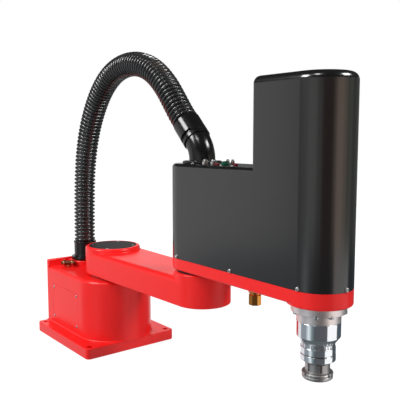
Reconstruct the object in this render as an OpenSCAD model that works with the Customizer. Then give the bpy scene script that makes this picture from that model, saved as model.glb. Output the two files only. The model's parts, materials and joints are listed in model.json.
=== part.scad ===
// Four-axis industrial robot: a cast base, two level arms, a ball-screw spline shaft and an outside conduit.
// The origin is on the first joint's axis at the underside of the base; +X runs along both arms and +Z is up.

/* [Base] */
// Distance from the first axis to the rear edge of the base plate
plate_rear = 172; // [168:1:190]
// Distance from the first axis to the front edge of the base plate
plate_front = 80; // [76:1:90]
// Width of the base plate
plate_w = 220; // [212:1:240]
// Thickness of the base plate
plate_t = 22; // [18:1:28]
// Corner radius of the base plate
plate_corner_r = 9; // [4:0.5:12]
// Diameter of the four foot holes
foot_hole_d = 12; // [9:0.5:13]
// Distance between the foot holes along the base
foot_span_x = 222; // [218:1:226]
// Distance between the foot holes across the base
foot_span_y = 192; // [188:1:196]
// Radius of the tower's round front, which is half its width
tower_r = 84; // [82:0.5:88]
// Height of the tower's roof above the underside
tower_top = 154; // [150:1:158]
// Radius along the tower's top edge
tower_edge_r = 7; // [3:0.5:9]
// Wall thickness of the castings
casting_wall = 8; // [6:0.5:10]
// Thickness of the tower's roof
roof_t = 12; // [10:0.5:14]
// Height of the wall that stands along the tower's rear edge
rear_wall_top = 170; // [166:1:174]
// Thickness of that wall
rear_wall_t = 12; // [8:0.5:14]
// Radius of the raised seat round the conduit's gland
pedestal_r = 34; // [33:0.5:38]
// Height of that seat above the tower's roof
pedestal_h = 13; // [10:0.5:15]

/* [Base fittings] */
// Length of the side access panel
side_panel_l = 126; // [110:1:130]
// Height of the side access panel
side_panel_h = 81; // [70:1:90]
// Distance from the first axis to the side panel's middle
side_panel_back = 75; // [70:1:80]
// Height of the side panel's middle
side_panel_z = 76; // [72:1:82]
// Thickness of the access panels
panel_t = 2.5; // [2:0.25:4]
// Width of the rear connector panel
rear_panel_w = 130; // [120:1:140]
// Height of the rear connector panel
rear_panel_h = 90; // [80:1:96]
// Height of the rear connector panel's middle
rear_panel_z = 84; // [80:1:90]
// Thickness of the plate that closes the base from below
bottom_cover_t = 3; // [2:0.5:4]

/* [First arm] */
// Distance between the first and the second axis
arm1_l = 325; // [310:1:340]
// Radius of the first arm's boss on the first axis
arm1_r1 = 60.8; // [58:0.2:64]
// Radius of the first arm's end on the second axis
arm1_r2 = 52.6; // [50:0.2:55]
// Height of the first arm's underside
arm1_bottom = 160.5; // [158:0.5:164]
// Thickness of the first arm between its bosses
arm1_t = 50.5; // [46:0.5:54]
// Height that both bosses stand above the arm between them
boss_rise = 9; // [6:0.5:11]
// Radius along the first arm's top edge
arm1_edge_r = 8; // [3:0.5:10]
// Radius of the dark cap over the first axis
cap_r = 52.9; // [48:0.1:55]
// Thickness of that cap
cap_t = 4; // [2:0.5:5]

/* [Second arm] */
// Distance between the second and the third axis
arm2_l = 275; // [268:1:285]
// Half the second arm's width, which is also the radius of both its ends
arm2_r = 49.6; // [48:0.2:52]
// Distance from the second axis back to the centre of the rear round end
arm2_back = 7.6; // [4:0.2:12]
// Gap between the first arm's end boss and the second arm
arm_gap = 3.9; // [3:0.1:5]
// Height of the red casting
arm2_casting_h = 21.4; // [20:0.2:26]
// Depth that the casting's round boss at the tool end reaches below its floor
tool_boss_drop = 3.5; // [2:0.1:4]
// Thickness of the casting's floor
arm2_floor_t = 9; // [7:0.5:11]
// Height of the cover's low part above the casting
cover_low_h = 169.7; // [160:0.1:180]
// Height of the cover's column above the casting
cover_high_h = 306.7; // [300:0.1:315]
// Distance from the third axis back to the column's flat rear face
column_back = 95; // [93:0.5:100]
// Wall thickness of the cover
cover_t = 3; // [2:0.25:4]
// Radius along the cover's top edges
cover_edge_r = 9; // [4:0.5:12]

/* [Tool shaft] */
// Diameter of the ball-screw spline shaft
shaft_d = 20; // [16:0.5:22]
// Diameter of the hole through the shaft
shaft_bore_d = 11; // [8:0.5:12]
// Stroke of the shaft
stroke = 150; // [140:1:155]
// Radius of the satin flange under the second arm
quill_flange_r = 41; // [39:0.2:43]
// Height of that flange
quill_flange_h = 11.7; // [10:0.1:13]
// Radius of the spacer ring and of the bright housing
quill_r = 33; // [31:0.2:35]
// Height of the satin spacer ring
quill_spacer_h = 13.8; // [12:0.1:16]
// Height of the bright housing's straight part
quill_body_h = 25.5; // [22:0.1:28]
// Height of the bright housing's cone
quill_cone_h = 7.4; // [6:0.1:9]
// Radius of the bright housing's lower end
quill_nose_r = 25.5; // [25:0.1:27]
// Height of the toothed ring under the housing
toothed_ring_h = 6.2; // [5:0.1:8]
// Height of the upper lock ring
upper_ring_h = 10.2; // [9:0.1:12]
// Height of the lower lock ring
lower_ring_h = 8.9; // [8:0.1:10]
// Radius of the stop collar
collar_r = 18.3; // [17:0.1:20]
// Height of the stop collar
collar_h = 14.3; // [12:0.1:16]
// Radius of the tool flange
tool_flange_r = 23.2; // [22:0.1:25]
// Height of the tool flange
tool_flange_h = 9.5; // [8:0.1:12]
// Diameter of the circle through the tool flange's holes
tool_pcd = 36; // [33:0.5:38]
// Diameter of the tool flange's holes
tool_hole_d = 4.5; // [3.5:0.1:5.5]

/* [Drives] */
// Width of the square motors of the first and second axis
big_motor_w = 76; // [60:1:80]
// Width of the second axis motor
second_motor_w = 64; // [56:1:66]
// Width of the square motors of the third and fourth axis
small_motor_w = 56; // [50:1:60]
// Distance from the third axis back to the lift motor
lift_motor_back = 58; // [56:0.5:62]
// Distance from the third axis back to the wrist motor
wrist_motor_back = 165; // [158:1:172]
// Outer radius of the driven belt pulleys
driven_r = 27; // [24:0.5:28]
// Outer radius of the motors' belt pulleys
driver_r = 14; // [11:0.5:15]
// Width of the belts
belt_w = 9; // [6:0.5:10]
// Thickness of the belts
belt_t = 1.6; // [1:0.1:2]

/* [Conduit] */
// Outer diameter of the ribbed conduit
conduit_d = 50; // [44:0.5:52]
// Outer diameter of the gland on the base
gland_d = 51.5; // [50:0.5:56]
// Radius of the gland's flange
gland_flange_r = 32.5; // [30:0.5:34]
// Outer diameter of the elbow over the second axis
elbow_d = 47; // [44:0.5:50]
// Radius of the elbow's bend
elbow_bend_r = 50; // [46:0.5:56]
// Outer diameter of the cuff that joins the elbow to the conduit
cuff_d = 52; // [50:0.5:56]
// Length of that cuff
cuff_l = 46; // [40:1:48]
// Radius of the elbow's seat on the cover
elbow_seat_r = 35.5; // [33:0.5:38]
// Height of the elbow's seat
elbow_seat_h = 5; // [4:0.5:6]

/* [Hidden] */
$fn = 96;
eps = 0.01;

// General clearances and fasteners
seat_gap = 0.3;
run_gap = 0.05;
small_screw_d = 3;
small_head_d = 5.6;
small_head_h = 2;
m4_head_d = 7;
m4_head_h = 2.6;
m5_d = 5;
m5_head_d = 8.5;
m5_head_h = 5;

// Places along the base
base_mid_x = (plate_front - plate_rear) / 2;
rear_inner_x = -plate_rear + casting_wall;
roof_bottom = tower_top - roof_t;
pedestal_top = tower_top + pedestal_h;
gland_x = -plate_rear + 37;
gland_neck_h = 2;
gland_neck_r = 29;
gland_flange_h = 7;
gland_rim_h = 4;
gland_top = 212;
gland_body_z = pedestal_top + gland_neck_h + gland_flange_h;
gland_bore_r = 17;
side_panel_x = -side_panel_back;
panel_ledge = 7;
panel_gap = 0.2;
panel_screw_inset = 6;

// First reducer, in the tower's roof
reducer_r = 46;
reducer_flange_r = 58;
reducer_flange_h = 8;
first_bearing_r = 40;
first_hub_r = 34;
first_ring_h = arm1_bottom - tower_top - 0.6;
first_ring_r = 50;
first_bearing_h = 12;
first_hub_bottom = roof_bottom - 14;
first_motor_top = first_hub_bottom - 6;
first_motor_h = 88;
wave_r = 26;
wave_h = 12;
motor_shaft_r = 7;
motor_plate_t = 8;

// First arm
arm1_web_top = arm1_bottom + arm1_t;
boss_top = arm1_web_top + boss_rise;
arm1_hub_bore_r = 24;
rib_t = 8;
tangent_inset = 0.02;
boss_step = 0.3;
cap_screw_r = cap_r - 5;

// Second arm
arm2_x = arm1_l;
tool_x = arm1_l + arm2_l;
arm2_bottom = boss_top + arm_gap;
floor_top = arm2_bottom + arm2_floor_t;
casting_top = arm2_bottom + arm2_casting_h;
cover_low_top = casting_top + cover_low_h;
cover_high_top = casting_top + cover_high_h;
column_x = tool_x - column_back;
lip_t = 3;
lip_h = 9;
cover_screw_z = casting_top + 3.2;
second_ring_r = 46;
second_hub_r = 28;
second_bearing_r = 34;
second_reducer_r = 40;
second_hub_top = arm2_bottom + 16;
second_motor_bottom = second_hub_top + 6;
second_motor_h = 92;
second_boss_pocket_r = 40;

// Tool shaft and quill
boss_bottom = arm2_bottom - tool_boss_drop;
flange_bottom = boss_bottom - quill_flange_h;
spacer_bottom = flange_bottom - quill_spacer_h;
body_bottom = spacer_bottom - quill_body_h;
cone_bottom = body_bottom - quill_cone_h;
toothed_bottom = cone_bottom - toothed_ring_h;
upper_ring_bottom = toothed_bottom - upper_ring_h;
ring_groove_h = 1;
lower_ring_bottom = upper_ring_bottom - ring_groove_h - lower_ring_h;
sleeve_r = 18.5;
quill_bore_r = 22.5;
collar_top = lower_ring_bottom - 4.7;
collar_bottom = collar_top - collar_h;
tool_end_z = collar_bottom - tool_flange_h;
shaft_r = shaft_d / 2;
wrist_belt_z = casting_top + 6;
nut_plate_t = 8;
nut_plate_rise = 80;
nut_plate_z = wrist_belt_z + belt_w + nut_plate_rise;
screw_nut_skirt = 24;
lift_belt_z = nut_plate_z + nut_plate_t + 5;
screw_nut_r = 19;
screw_nut_bearing_r = 26;
shaft_top = lift_belt_z + belt_w + 2 + stroke + 18;
lift_motor_x = tool_x - lift_motor_back;
lift_motor_h = 66;
wrist_motor_x = tool_x - wrist_motor_back;
wrist_plate_z = wrist_belt_z + belt_w + 5;
wrist_plate_t = 7;
wrist_motor_h = 74;
post_r = 5;
post_y = arm2_r - cover_t - lip_t - post_r - 1.5;
front_post_x = 17;
front_post_place_r = arm2_r - cover_t - panel_gap - lip_t - post_r - 0.5;
tool_boss_r = quill_r - 1;

// Elbow
cover_hole_r = 21;
seat_z = cover_low_top;
elbow_z = seat_z + elbow_seat_h + seat_gap;
elbow_spigot_r = cover_hole_r - 2.5;
elbow_bore_r = elbow_spigot_r - 3;
bend_angle = 45;
elbow_end = [arm2_x - elbow_bend_r * (1 - cos(bend_angle)), 0, elbow_z + elbow_bend_r * sin(bend_angle)];

// The conduit's middle line, from the gland to the cuff
conduit_route = [
    [-135, 0, 212.5], [-135, 0, 245], [-133.5, 0, 290], [-131, 0, 335], [-126.5, 0, 380],
    [-118, 0, 423], [-104, 0, 466], [-84, 0, 506], [-57, 0, 544], [-25, 0, 575],
    [12, 0, 597], [54, 0, 609], [98, 0, 611], [140, 0, 603], [178, 0, 586],
    [213, 0, 559], [243, 0, 526], [261, 0, 505], [277.5, 0, 488.5]
];
conduit_sides = 12;
conduit_end_gap = 0.5;

// The route's ends follow the gland and the cuff, and the points between share the change
function ease(t) = t * t * (3 - 2 * t);
conduit_last = len(conduit_route) - 1;
gland_shift = [gland_x, 0, gland_top + conduit_end_gap] - conduit_route[0];
cuff_shift = elbow_end + (cuff_l + conduit_end_gap) * [-sin(bend_angle), 0, cos(bend_angle)]
    - conduit_route[conduit_last];
conduit_points = [
    for (i = [0:conduit_last]) let (share = ease(i / conduit_last))
        conduit_route[i] + (1 - share) * gland_shift + share * cuff_shift
];

// A plate with round corners, its middle at the origin
module round_plate(l, w, r, h) {
    union() {
        translate([-l / 2 + r, -w / 2, 0]) cube([l - 2 * r, w, h]);
        translate([-l / 2, -w / 2 + r, 0]) cube([l, w - 2 * r, h]);
        for (x = [-1, 1], y = [-1, 1])
            translate([x * (l / 2 - r), y * (w / 2 - r), 0]) cylinder(r = r, h = h);
    }
}

// A body with straight sides and a round front, from the rear face at -rear to the front at +r
module d_body(rear, r, z0, z1) {
    translate([0, 0, z0]) cylinder(r = r, h = z1 - z0);
    translate([-rear, -r, z0]) cube([rear, 2 * r, z1 - z0]);
}

// The tower's outside, with its top edge cut back along the sides and the round front
module tower_solid() {
    step = tower_edge_r * 0.35;
    d_body(plate_rear, tower_r, 0, tower_top - tower_edge_r);
    d_body(plate_rear, tower_r - step, 0, tower_top - step);
    d_body(plate_rear, tower_r - tower_edge_r, 0, tower_top);
}

// The plan of an arm: two circles and the straight sides that run from one to the other.
// On a tapered arm the sides start a hair inside the circles, so that they cross instead of touching.
function side_lean(r1, r2, l) = asin((r1 - r2) / l);
function side_end(x, r, lean, y) = [x + r * sin(lean), y * r * cos(lean)];

module arm_plan(r1, r2, l) {
    lean = side_lean(r1, r2, l);
    in = r1 == r2 ? 0 : tangent_inset;
    circle(r = r1);
    translate([l, 0]) circle(r = r2);
    polygon([
        side_end(0, r1 - in, lean, -1), side_end(l, r2 - in, lean, -1),
        side_end(l, r2 - in, lean, 1), side_end(0, r1 - in, lean, 1)
    ]);
}

module arm_solid(r1, r2, l, z0, z1) {
    translate([0, 0, z0]) linear_extrude(z1 - z0) arm_plan(r1, r2, l);
}

module tube(r_out, r_in, z0, z1) {
    translate([0, 0, z0]) difference() {
        cylinder(r = r_out, h = z1 - z0);
        translate([0, 0, -eps]) cylinder(r = r_in, h = z1 - z0 + 2 * eps);
    }
}

// A round-headed screw that points down, its head's underside at the origin
module pan_screw(d, l, head_d, head_h) {
    translate([0, 0, -l]) cylinder(d = d, h = l + eps, $fn = 24);
    cylinder(d = head_d, h = head_h, $fn = 32);
}

// A socket-head bolt that points down, its head's underside at the origin
module socket_bolt(d, l, head_d, head_h) {
    difference() {
        union() {
            translate([0, 0, -l]) cylinder(d = d, h = l + eps, $fn = 24);
            cylinder(d = head_d, h = head_h, $fn = 32);
        }
        translate([0, 0, head_h / 2]) cylinder(d = d, h = head_h, $fn = 6);
    }
}

module ring_of(n, r, start = 0) {
    for (i = [0:n - 1]) rotate([0, 0, start + 360 * i / n]) translate([r, 0, 0]) children();
}

// A servo motor that stands on its flange at the origin and reaches up by h, with its shaft below
module servo(w, h, shaft_l, shaft_r) {
    color([0.12, 0.12, 0.13]) union() {
        round_plate(w, w, 6, 8);
        translate([0, 0, 8 - eps]) round_plate(w - 5, w - 5, 9, h - 22);
        translate([0, 0, h - 14 - eps]) round_plate(w - 3, w - 3, 6, 14);
        translate([0, 0, -shaft_l]) cylinder(r = shaft_r, h = shaft_l + eps);
    }
}

// A belt pulley between two thin flanges, from z = 0 up, round the z axis
module belt_pulley(r, bore_r, h) {
    flange_h = 1.2;
    color([0.7, 0.7, 0.72]) difference() {
        union() {
            translate([0, 0, -flange_h]) cylinder(r = r + 1, h = flange_h);
            cylinder(r = r, h = h);
            translate([0, 0, h]) cylinder(r = r + 1, h = flange_h);
        }
        translate([0, 0, -flange_h - eps]) cylinder(r = bore_r, h = h + 2 * flange_h + 2 * eps);
    }
}

// A closed belt round two pulleys that stand dist apart along x
module closed_belt(r1, r2, dist, h) {
    inner = 0.15;
    color([0.08, 0.08, 0.08]) linear_extrude(h) difference() {
        arm_plan(r1 + inner + belt_t, r2 + inner + belt_t, dist);
        arm_plan(r1 + inner, r2 + inner, dist);
    }
}

// Base

module foot_places() {
    for (x = [-1, 1], y = [-1, 1])
        translate([base_mid_x + x * foot_span_x / 2, y * foot_span_y / 2, 0]) children();
}

module side_panel_places() {
    for (x = [-1, 1], z = [-1, 1])
        translate([
            side_panel_x + x * (side_panel_l / 2 - panel_screw_inset), -tower_r,
            side_panel_z + z * (side_panel_h / 2 - panel_screw_inset)
        ]) rotate([90, 0, 0]) children();
}

module rear_panel_places() {
    for (y = [-1, 1], z = [-1, 1])
        translate([
            -plate_rear, y * (rear_panel_w / 2 - panel_screw_inset),
            rear_panel_z + z * (rear_panel_h / 2 - panel_screw_inset)
        ]) rotate([0, -90, 0]) children();
}

bottom_ledge = 7;
bottom_ledge_rear = 5;
bottom_screw_inset = 3.5;
bottom_lip = 1.5;
bottom_front_angle = 40;

// The bottom cover's space: the tower's inside and a ledge round it, ended behind the plate's front edge
module bottom_space(gap, z0, z1) {
    intersection() {
        d_body(
            plate_rear - casting_wall + bottom_ledge_rear - gap,
            tower_r - casting_wall + bottom_ledge - gap, z0, z1
        );
        translate([-plate_rear, -tower_r, z0])
            cube([plate_rear + plate_front - bottom_lip - gap, 2 * tower_r, z1 - z0]);
    }
}

module bottom_screw_places() {
    y_in = tower_r - casting_wall + bottom_screw_inset;
    for (x = [rear_inner_x + 8, rear_inner_x / 2, 0], y = [-1, 1]) translate([x, y * y_in, 0]) children();
    for (a = [-1, 1]) rotate([0, 0, a * bottom_front_angle]) translate([y_in, 0, 0]) children();
}

module base_casting() {
    cavity_r = tower_r - casting_wall;
    color([0.85, 0.1, 0.1]) difference() {
        union() {
            intersection() {
                tower_solid();
                translate([-plate_rear, -tower_r, plate_t - eps])
                    cube([plate_rear + tower_r, 2 * tower_r, tower_top]);
            }
            translate([base_mid_x, 0, 0])
                round_plate(plate_rear + plate_front, plate_w, plate_corner_r, plate_t);
            translate([-plate_rear, -tower_r, tower_top - 2 * tower_edge_r])
                cube([rear_wall_t, 2 * tower_r, rear_wall_top - tower_top + 2 * tower_edge_r]);
            translate([gland_x, 0, 0])
                d_body(plate_rear + gland_x - eps, pedestal_r, tower_top - 1, pedestal_top);
        }
        d_body(plate_rear - casting_wall, cavity_r, -eps, roof_bottom);
        bottom_space(0, -eps, bottom_cover_t);
        bottom_screw_places() cylinder(d = small_screw_d + 2 * run_gap, h = 12, $fn = 24);
        foot_places() translate([0, 0, -eps]) cylinder(d = foot_hole_d, h = plate_t + 2 * eps);
        translate([0, 0, roof_bottom - eps]) cylinder(r = reducer_r + panel_gap, h = roof_t + 2 * eps);
        translate([gland_x, 0, roof_bottom - eps])
            cylinder(r = gland_bore_r, h = pedestal_top - roof_bottom + 2 * eps);
        translate([gland_x, 0, pedestal_top])
            cylinder(r = gland_flange_r + 0.5, h = rear_wall_top - pedestal_top + eps);
        ring_of(8, (reducer_flange_r + reducer_r) / 2)
            translate([0, 0, roof_bottom - eps]) cylinder(d = 4, h = 9, $fn = 24);
        // side panel's seat and the opening behind it
        translate([side_panel_x - side_panel_l / 2 - panel_gap, -tower_r - eps, side_panel_z - side_panel_h / 2 - panel_gap])
            cube([side_panel_l + 2 * panel_gap, panel_t + eps, side_panel_h + 2 * panel_gap]);
        translate([
            side_panel_x - side_panel_l / 2 + panel_ledge + panel_screw_inset - 2, -tower_r - eps,
            side_panel_z - side_panel_h / 2 + panel_ledge + panel_screw_inset - 2
        ]) cube([
            side_panel_l - 2 * (panel_ledge + panel_screw_inset - 2), casting_wall + 2 * eps,
            side_panel_h - 2 * (panel_ledge + panel_screw_inset - 2)
        ]);
        side_panel_places() translate([0, 0, -7]) cylinder(d = small_screw_d, h = 8, $fn = 24);
        // rear panel's seat and the opening behind it
        translate([-plate_rear - eps, -rear_panel_w / 2 - panel_gap, rear_panel_z - rear_panel_h / 2 - panel_gap])
            cube([panel_t + eps, rear_panel_w + 2 * panel_gap, rear_panel_h + 2 * panel_gap]);
        translate([
            -plate_rear - eps, -rear_panel_w / 2 + panel_ledge + panel_screw_inset - 2,
            rear_panel_z - rear_panel_h / 2 + panel_ledge + panel_screw_inset - 2
        ]) cube([
            casting_wall + 2 * eps, rear_panel_w - 2 * (panel_ledge + panel_screw_inset - 2),
            rear_panel_h - 2 * (panel_ledge + panel_screw_inset - 2)
        ]);
        rear_panel_places() translate([0, 0, -7]) cylinder(d = small_screw_d, h = 8, $fn = 24);
        brass_fitting_place() translate([0, 0, -brass_thread_l - 4]) cylinder(r = brass_thread_r, h = brass_thread_l + 5);
    }
}

module bottom_cover() {
    color([0.55, 0.56, 0.58]) difference() {
        bottom_space(panel_gap, 0, bottom_cover_t);
        bottom_screw_places() translate([0, 0, -eps]) cylinder(d = small_screw_d, h = bottom_cover_t + 2 * eps, $fn = 24);
        bottom_screw_places() translate([0, 0, -eps]) cylinder(d = small_head_d, h = small_head_h + eps, $fn = 32);
    }
}

module bottom_cover_screws() {
    color([0.75, 0.75, 0.77]) bottom_screw_places()
        translate([0, 0, small_head_h]) mirror([0, 0, 1])
            pan_screw(small_screw_d, 8, small_head_d, small_head_h);
}

module side_panel() {
    color([0.85, 0.1, 0.1]) difference() {
        translate([side_panel_x - side_panel_l / 2, -tower_r, side_panel_z - side_panel_h / 2])
            cube([side_panel_l, panel_t, side_panel_h]);
        side_panel_places() translate([0, 0, -7]) cylinder(d = small_screw_d, h = 8, $fn = 24);
    }
}

module side_panel_screws() {
    color([0.75, 0.75, 0.77]) side_panel_places() pan_screw(small_screw_d, 6, small_head_d, small_head_h);
}

power_y = -36;
signal_y = 2.5;
user_y = 40.5;
connector_z = rear_panel_z + 12;
air_z = rear_panel_z - 24;
air_step = 22;
round_connector_r = 15;
user_connector_w = 32;
user_connector_h = 13;
user_socket_floor = 2;
air_thread_r = 6;

module rear_panel() {
    color([0.2, 0.2, 0.21]) difference() {
        translate([-plate_rear, -rear_panel_w / 2, rear_panel_z - rear_panel_h / 2])
            cube([panel_t, rear_panel_w, rear_panel_h]);
        rear_panel_places() translate([0, 0, -7]) cylinder(d = small_screw_d, h = 8, $fn = 24);
        for (y = [power_y, signal_y]) translate([-plate_rear - eps, y, connector_z]) rotate([0, 90, 0])
            cylinder(r = round_connector_r - 3, h = panel_t + 2 * eps);
        translate([-plate_rear - eps, user_y - user_connector_w / 2 + 3, connector_z - user_connector_h / 2 + 2])
            cube([panel_t + 2 * eps, user_connector_w - 6, user_connector_h - 4]);
        for (i = [-1, 0, 1]) translate([-plate_rear - eps, i * air_step, air_z]) rotate([0, 90, 0])
            cylinder(r = air_thread_r, h = panel_t + 2 * eps);
    }
}

module rear_panel_screws() {
    color([0.75, 0.75, 0.77]) rear_panel_places() pan_screw(small_screw_d, 6, small_head_d, small_head_h);
}

// A round panel connector that looks backward, with its thread behind the panel
module round_connector(y) {
    translate([-plate_rear, y, connector_z]) rotate([0, -90, 0]) difference() {
        union() {
            translate([0, 0, -12]) cylinder(r = round_connector_r - 3, h = 12 + eps);
            cylinder(r = round_connector_r + 1, h = 3);
            translate([0, 0, 3 - eps]) cylinder(r = round_connector_r - 1.5, h = 11);
        }
        translate([0, 0, 5]) cylinder(r = round_connector_r - 4, h = 10);
    }
}

module power_connector() {
    color([0.1, 0.1, 0.1]) round_connector(power_y);
}

module signal_connector() {
    color([0.72, 0.72, 0.74]) round_connector(signal_y);
}

module user_connector() {
    color([0.72, 0.72, 0.74]) translate([-plate_rear, user_y, connector_z]) rotate([0, -90, 0]) difference() {
        union() {
            translate([-user_connector_h / 2 + 2, -user_connector_w / 2 + 3, -9])
                cube([user_connector_h - 4, user_connector_w - 6, 9 + eps]);
            translate([-user_connector_h / 2, -user_connector_w / 2 - 5, 0])
                cube([user_connector_h, user_connector_w + 10, 1.5]);
            translate([-user_connector_h / 2 + 1.5, -user_connector_w / 2 + 2, 1])
                cube([user_connector_h - 3, user_connector_w - 4, 6]);
        }
        translate([-user_connector_h / 2 + 3, -user_connector_w / 2 + 3.5, user_socket_floor])
            cube([user_connector_h - 6, user_connector_w - 7, 6]);
    }
}

// A push-in air fitting that points up, its seat at the origin and its thread below
module air_fitting(body_r, h, thread_r, thread_l) {
    difference() {
        union() {
            translate([0, 0, -thread_l]) cylinder(r = thread_r, h = thread_l + eps);
            cylinder(r = body_r, h = h * 0.45, $fn = 6);
            cylinder(r = body_r * 0.86, h = h * 0.85);
            cylinder(r = body_r * 0.62, h = h);
        }
        translate([0, 0, h * 0.4]) cylinder(r = body_r * 0.4, h = h);
    }
}

module rear_air_fittings() {
    color([0.75, 0.75, 0.77]) for (i = [-1, 0, 1])
        translate([-plate_rear, i * air_step, air_z]) rotate([0, -90, 0])
            air_fitting(8, 20, air_thread_r, 9);
}

brass_x = -127;
brass_y = -49;
brass_turn = 52;
brass_thread_r = 4;
brass_thread_l = 9;
brass_ring_r = 7;
brass_half_l = 16.8;
brass_z = tower_top + 9.5;

module brass_fitting_place() {
    translate([brass_x, brass_y, tower_top]) children();
}

// A level barrel on a short stem, with a bright ring near each end
module tower_brass_fitting() {
    color([0.72, 0.5, 0.25]) union() {
        brass_fitting_place() translate([0, 0, -brass_thread_l])
            cylinder(r = brass_thread_r - run_gap, h = brass_thread_l + brass_z - tower_top);
        brass_fitting_place() cylinder(r = brass_thread_r + 2, h = 2.5, $fn = 6);
        translate([brass_x, brass_y, brass_z]) rotate([0, 0, brass_turn]) rotate([0, 90, 0]) {
            translate([0, 0, -brass_half_l]) cylinder(r = brass_ring_r - 2, h = 2 * brass_half_l);
            translate([0, 0, -8]) cylinder(r = brass_ring_r - 1, h = 16);
            for (x = [-12, 8]) translate([0, 0, x]) cylinder(r = brass_ring_r, h = 4);
        }
    }
}

module conduit_gland() {
    color([0.07, 0.07, 0.08]) translate([gland_x, 0, 0]) difference() {
        union() {
            translate([0, 0, roof_bottom - 10]) cylinder(r = gland_bore_r - 0.1, h = pedestal_top - roof_bottom + 10 + eps);
            translate([0, 0, pedestal_top]) cylinder(r = gland_neck_r, h = gland_neck_h + eps);
            translate([0, 0, pedestal_top + gland_neck_h]) cylinder(r = gland_flange_r, h = gland_flange_h);
            translate([0, 0, gland_body_z - eps]) cylinder(d = gland_d, h = gland_top - gland_body_z - gland_rim_h + eps);
            translate([0, 0, gland_top - gland_rim_h - eps]) cylinder(d = gland_d + 2.5, h = gland_rim_h + eps);
        }
        translate([0, 0, roof_bottom - 10 - eps]) cylinder(r = gland_bore_r - 4, h = gland_top);
        translate([0, 0, gland_body_z + 4]) cylinder(d = gland_d - 6, h = gland_top);
    }
}

module gland_locknut() {
    color([0.07, 0.07, 0.08]) translate([gland_x, 0, roof_bottom - 7]) difference() {
        cylinder(r = gland_bore_r + 7, h = 7, $fn = 6);
        translate([0, 0, -eps]) cylinder(r = gland_bore_r - 0.1 + run_gap, h = 7 + 2 * eps);
    }
}

// First axis, from the motor up to the arm

module first_motor() {
    translate([0, 0, first_motor_top]) mirror([0, 0, 1])
        servo(big_motor_w, first_motor_h, first_hub_bottom - first_motor_top + wave_h + 3, motor_shaft_r);
}

module first_reducer_housing() {
    color([0.72, 0.72, 0.74]) difference() {
        union() {
            translate([0, 0, first_motor_top]) cylinder(r = reducer_r, h = tower_top - first_motor_top);
            translate([0, 0, roof_bottom - reducer_flange_h]) cylinder(r = reducer_flange_r, h = reducer_flange_h);
            translate([0, 0, first_motor_top]) cylinder(r = big_motor_w * 0.7, h = motor_plate_t);
        }
        translate([0, 0, first_motor_top + motor_plate_t - 3]) cylinder(r = first_hub_r + seat_gap, h = 80);
        translate([0, 0, tower_top - first_bearing_h - 1]) cylinder(r = first_bearing_r + run_gap, h = 80);
        translate([0, 0, first_motor_top - eps]) cylinder(r = motor_shaft_r + 3, h = 20);
        ring_of(8, (reducer_flange_r + reducer_r) / 2)
            translate([0, 0, roof_bottom - reducer_flange_h - eps]) cylinder(d = 4, h = reducer_flange_h + 2 * eps, $fn = 24);
    }
}

module first_bearing() {
    color([0.8, 0.8, 0.82])
        tube(first_bearing_r, first_hub_r + run_gap, tower_top - first_bearing_h - 1, tower_top - 1);
}

module first_wave_generator() {
    color([0.6, 0.6, 0.62]) translate([0, 0, first_hub_bottom + 1]) difference() {
        cylinder(r = wave_r, h = wave_h);
        translate([0, 0, -eps]) cylinder(r = motor_shaft_r + run_gap, h = wave_h + 2 * eps);
    }
}

flange_bolt_n = 6;
first_bolt_r = 28;
second_bolt_r = 22;

module first_output_flange() {
    color([0.78, 0.78, 0.8]) difference() {
        union() {
            translate([0, 0, first_hub_bottom]) cylinder(r = first_hub_r, h = arm1_bottom - first_hub_bottom);
            translate([0, 0, arm1_bottom - first_ring_h]) cylinder(r = first_ring_r, h = first_ring_h);
            translate([0, 0, arm1_bottom - eps]) cylinder(r = arm1_hub_bore_r - 0.1, h = 6);
        }
        translate([0, 0, first_hub_bottom - eps]) cylinder(r = first_hub_r - 5, h = wave_h + 5);
        ring_of(flange_bolt_n, first_bolt_r) translate([0, 0, arm1_bottom - 10]) cylinder(d = m5_d, h = 20, $fn = 24);
    }
}

// First arm

pocket_count = 3;
pocket_from = arm1_r1 + rib_t;
pocket_to = arm1_l - arm1_r2 - rib_t;
pocket_pitch = (pocket_to - pocket_from + rib_t) / pocket_count;
pocket_depth = arm1_t - casting_wall - 2;

module arm1_pockets() {
    inset = casting_wall + 1;
    half = arm1_r1 - inset;
    intersection() {
        arm_solid(half, arm1_r2 - inset, arm1_l, arm1_bottom - eps, arm1_bottom + pocket_depth);
        for (i = [0:pocket_count - 1], y = [rib_t / 2, -rib_t / 2 - half])
            translate([pocket_from + i * pocket_pitch, y, arm1_bottom - 1])
                cube([pocket_pitch - rib_t, half, pocket_depth + 2]);
    }
}

// The arm in three layers, so that its top edge steps back, with a boss on each axis
module arm1_solid() {
    step = arm1_edge_r * 0.35;
    edge_z = arm1_web_top - arm1_edge_r;
    arm_solid(arm1_r1, arm1_r2, arm1_l, arm1_bottom, edge_z);
    arm_solid(arm1_r1 - step, arm1_r2 - step, arm1_l, edge_z, arm1_web_top - step);
    arm_solid(arm1_r1 - arm1_edge_r, arm1_r2 - arm1_edge_r, arm1_l, arm1_web_top - step, arm1_web_top);
    translate([0, 0, edge_z - 1]) cylinder(r = arm1_r1 - boss_step, h = boss_top - edge_z + 1);
    translate([arm1_l, 0, edge_z - 1]) cylinder(r = arm1_r2 - boss_step, h = boss_top - edge_z + 1);
}

boss_floor_t = 12;

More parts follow.
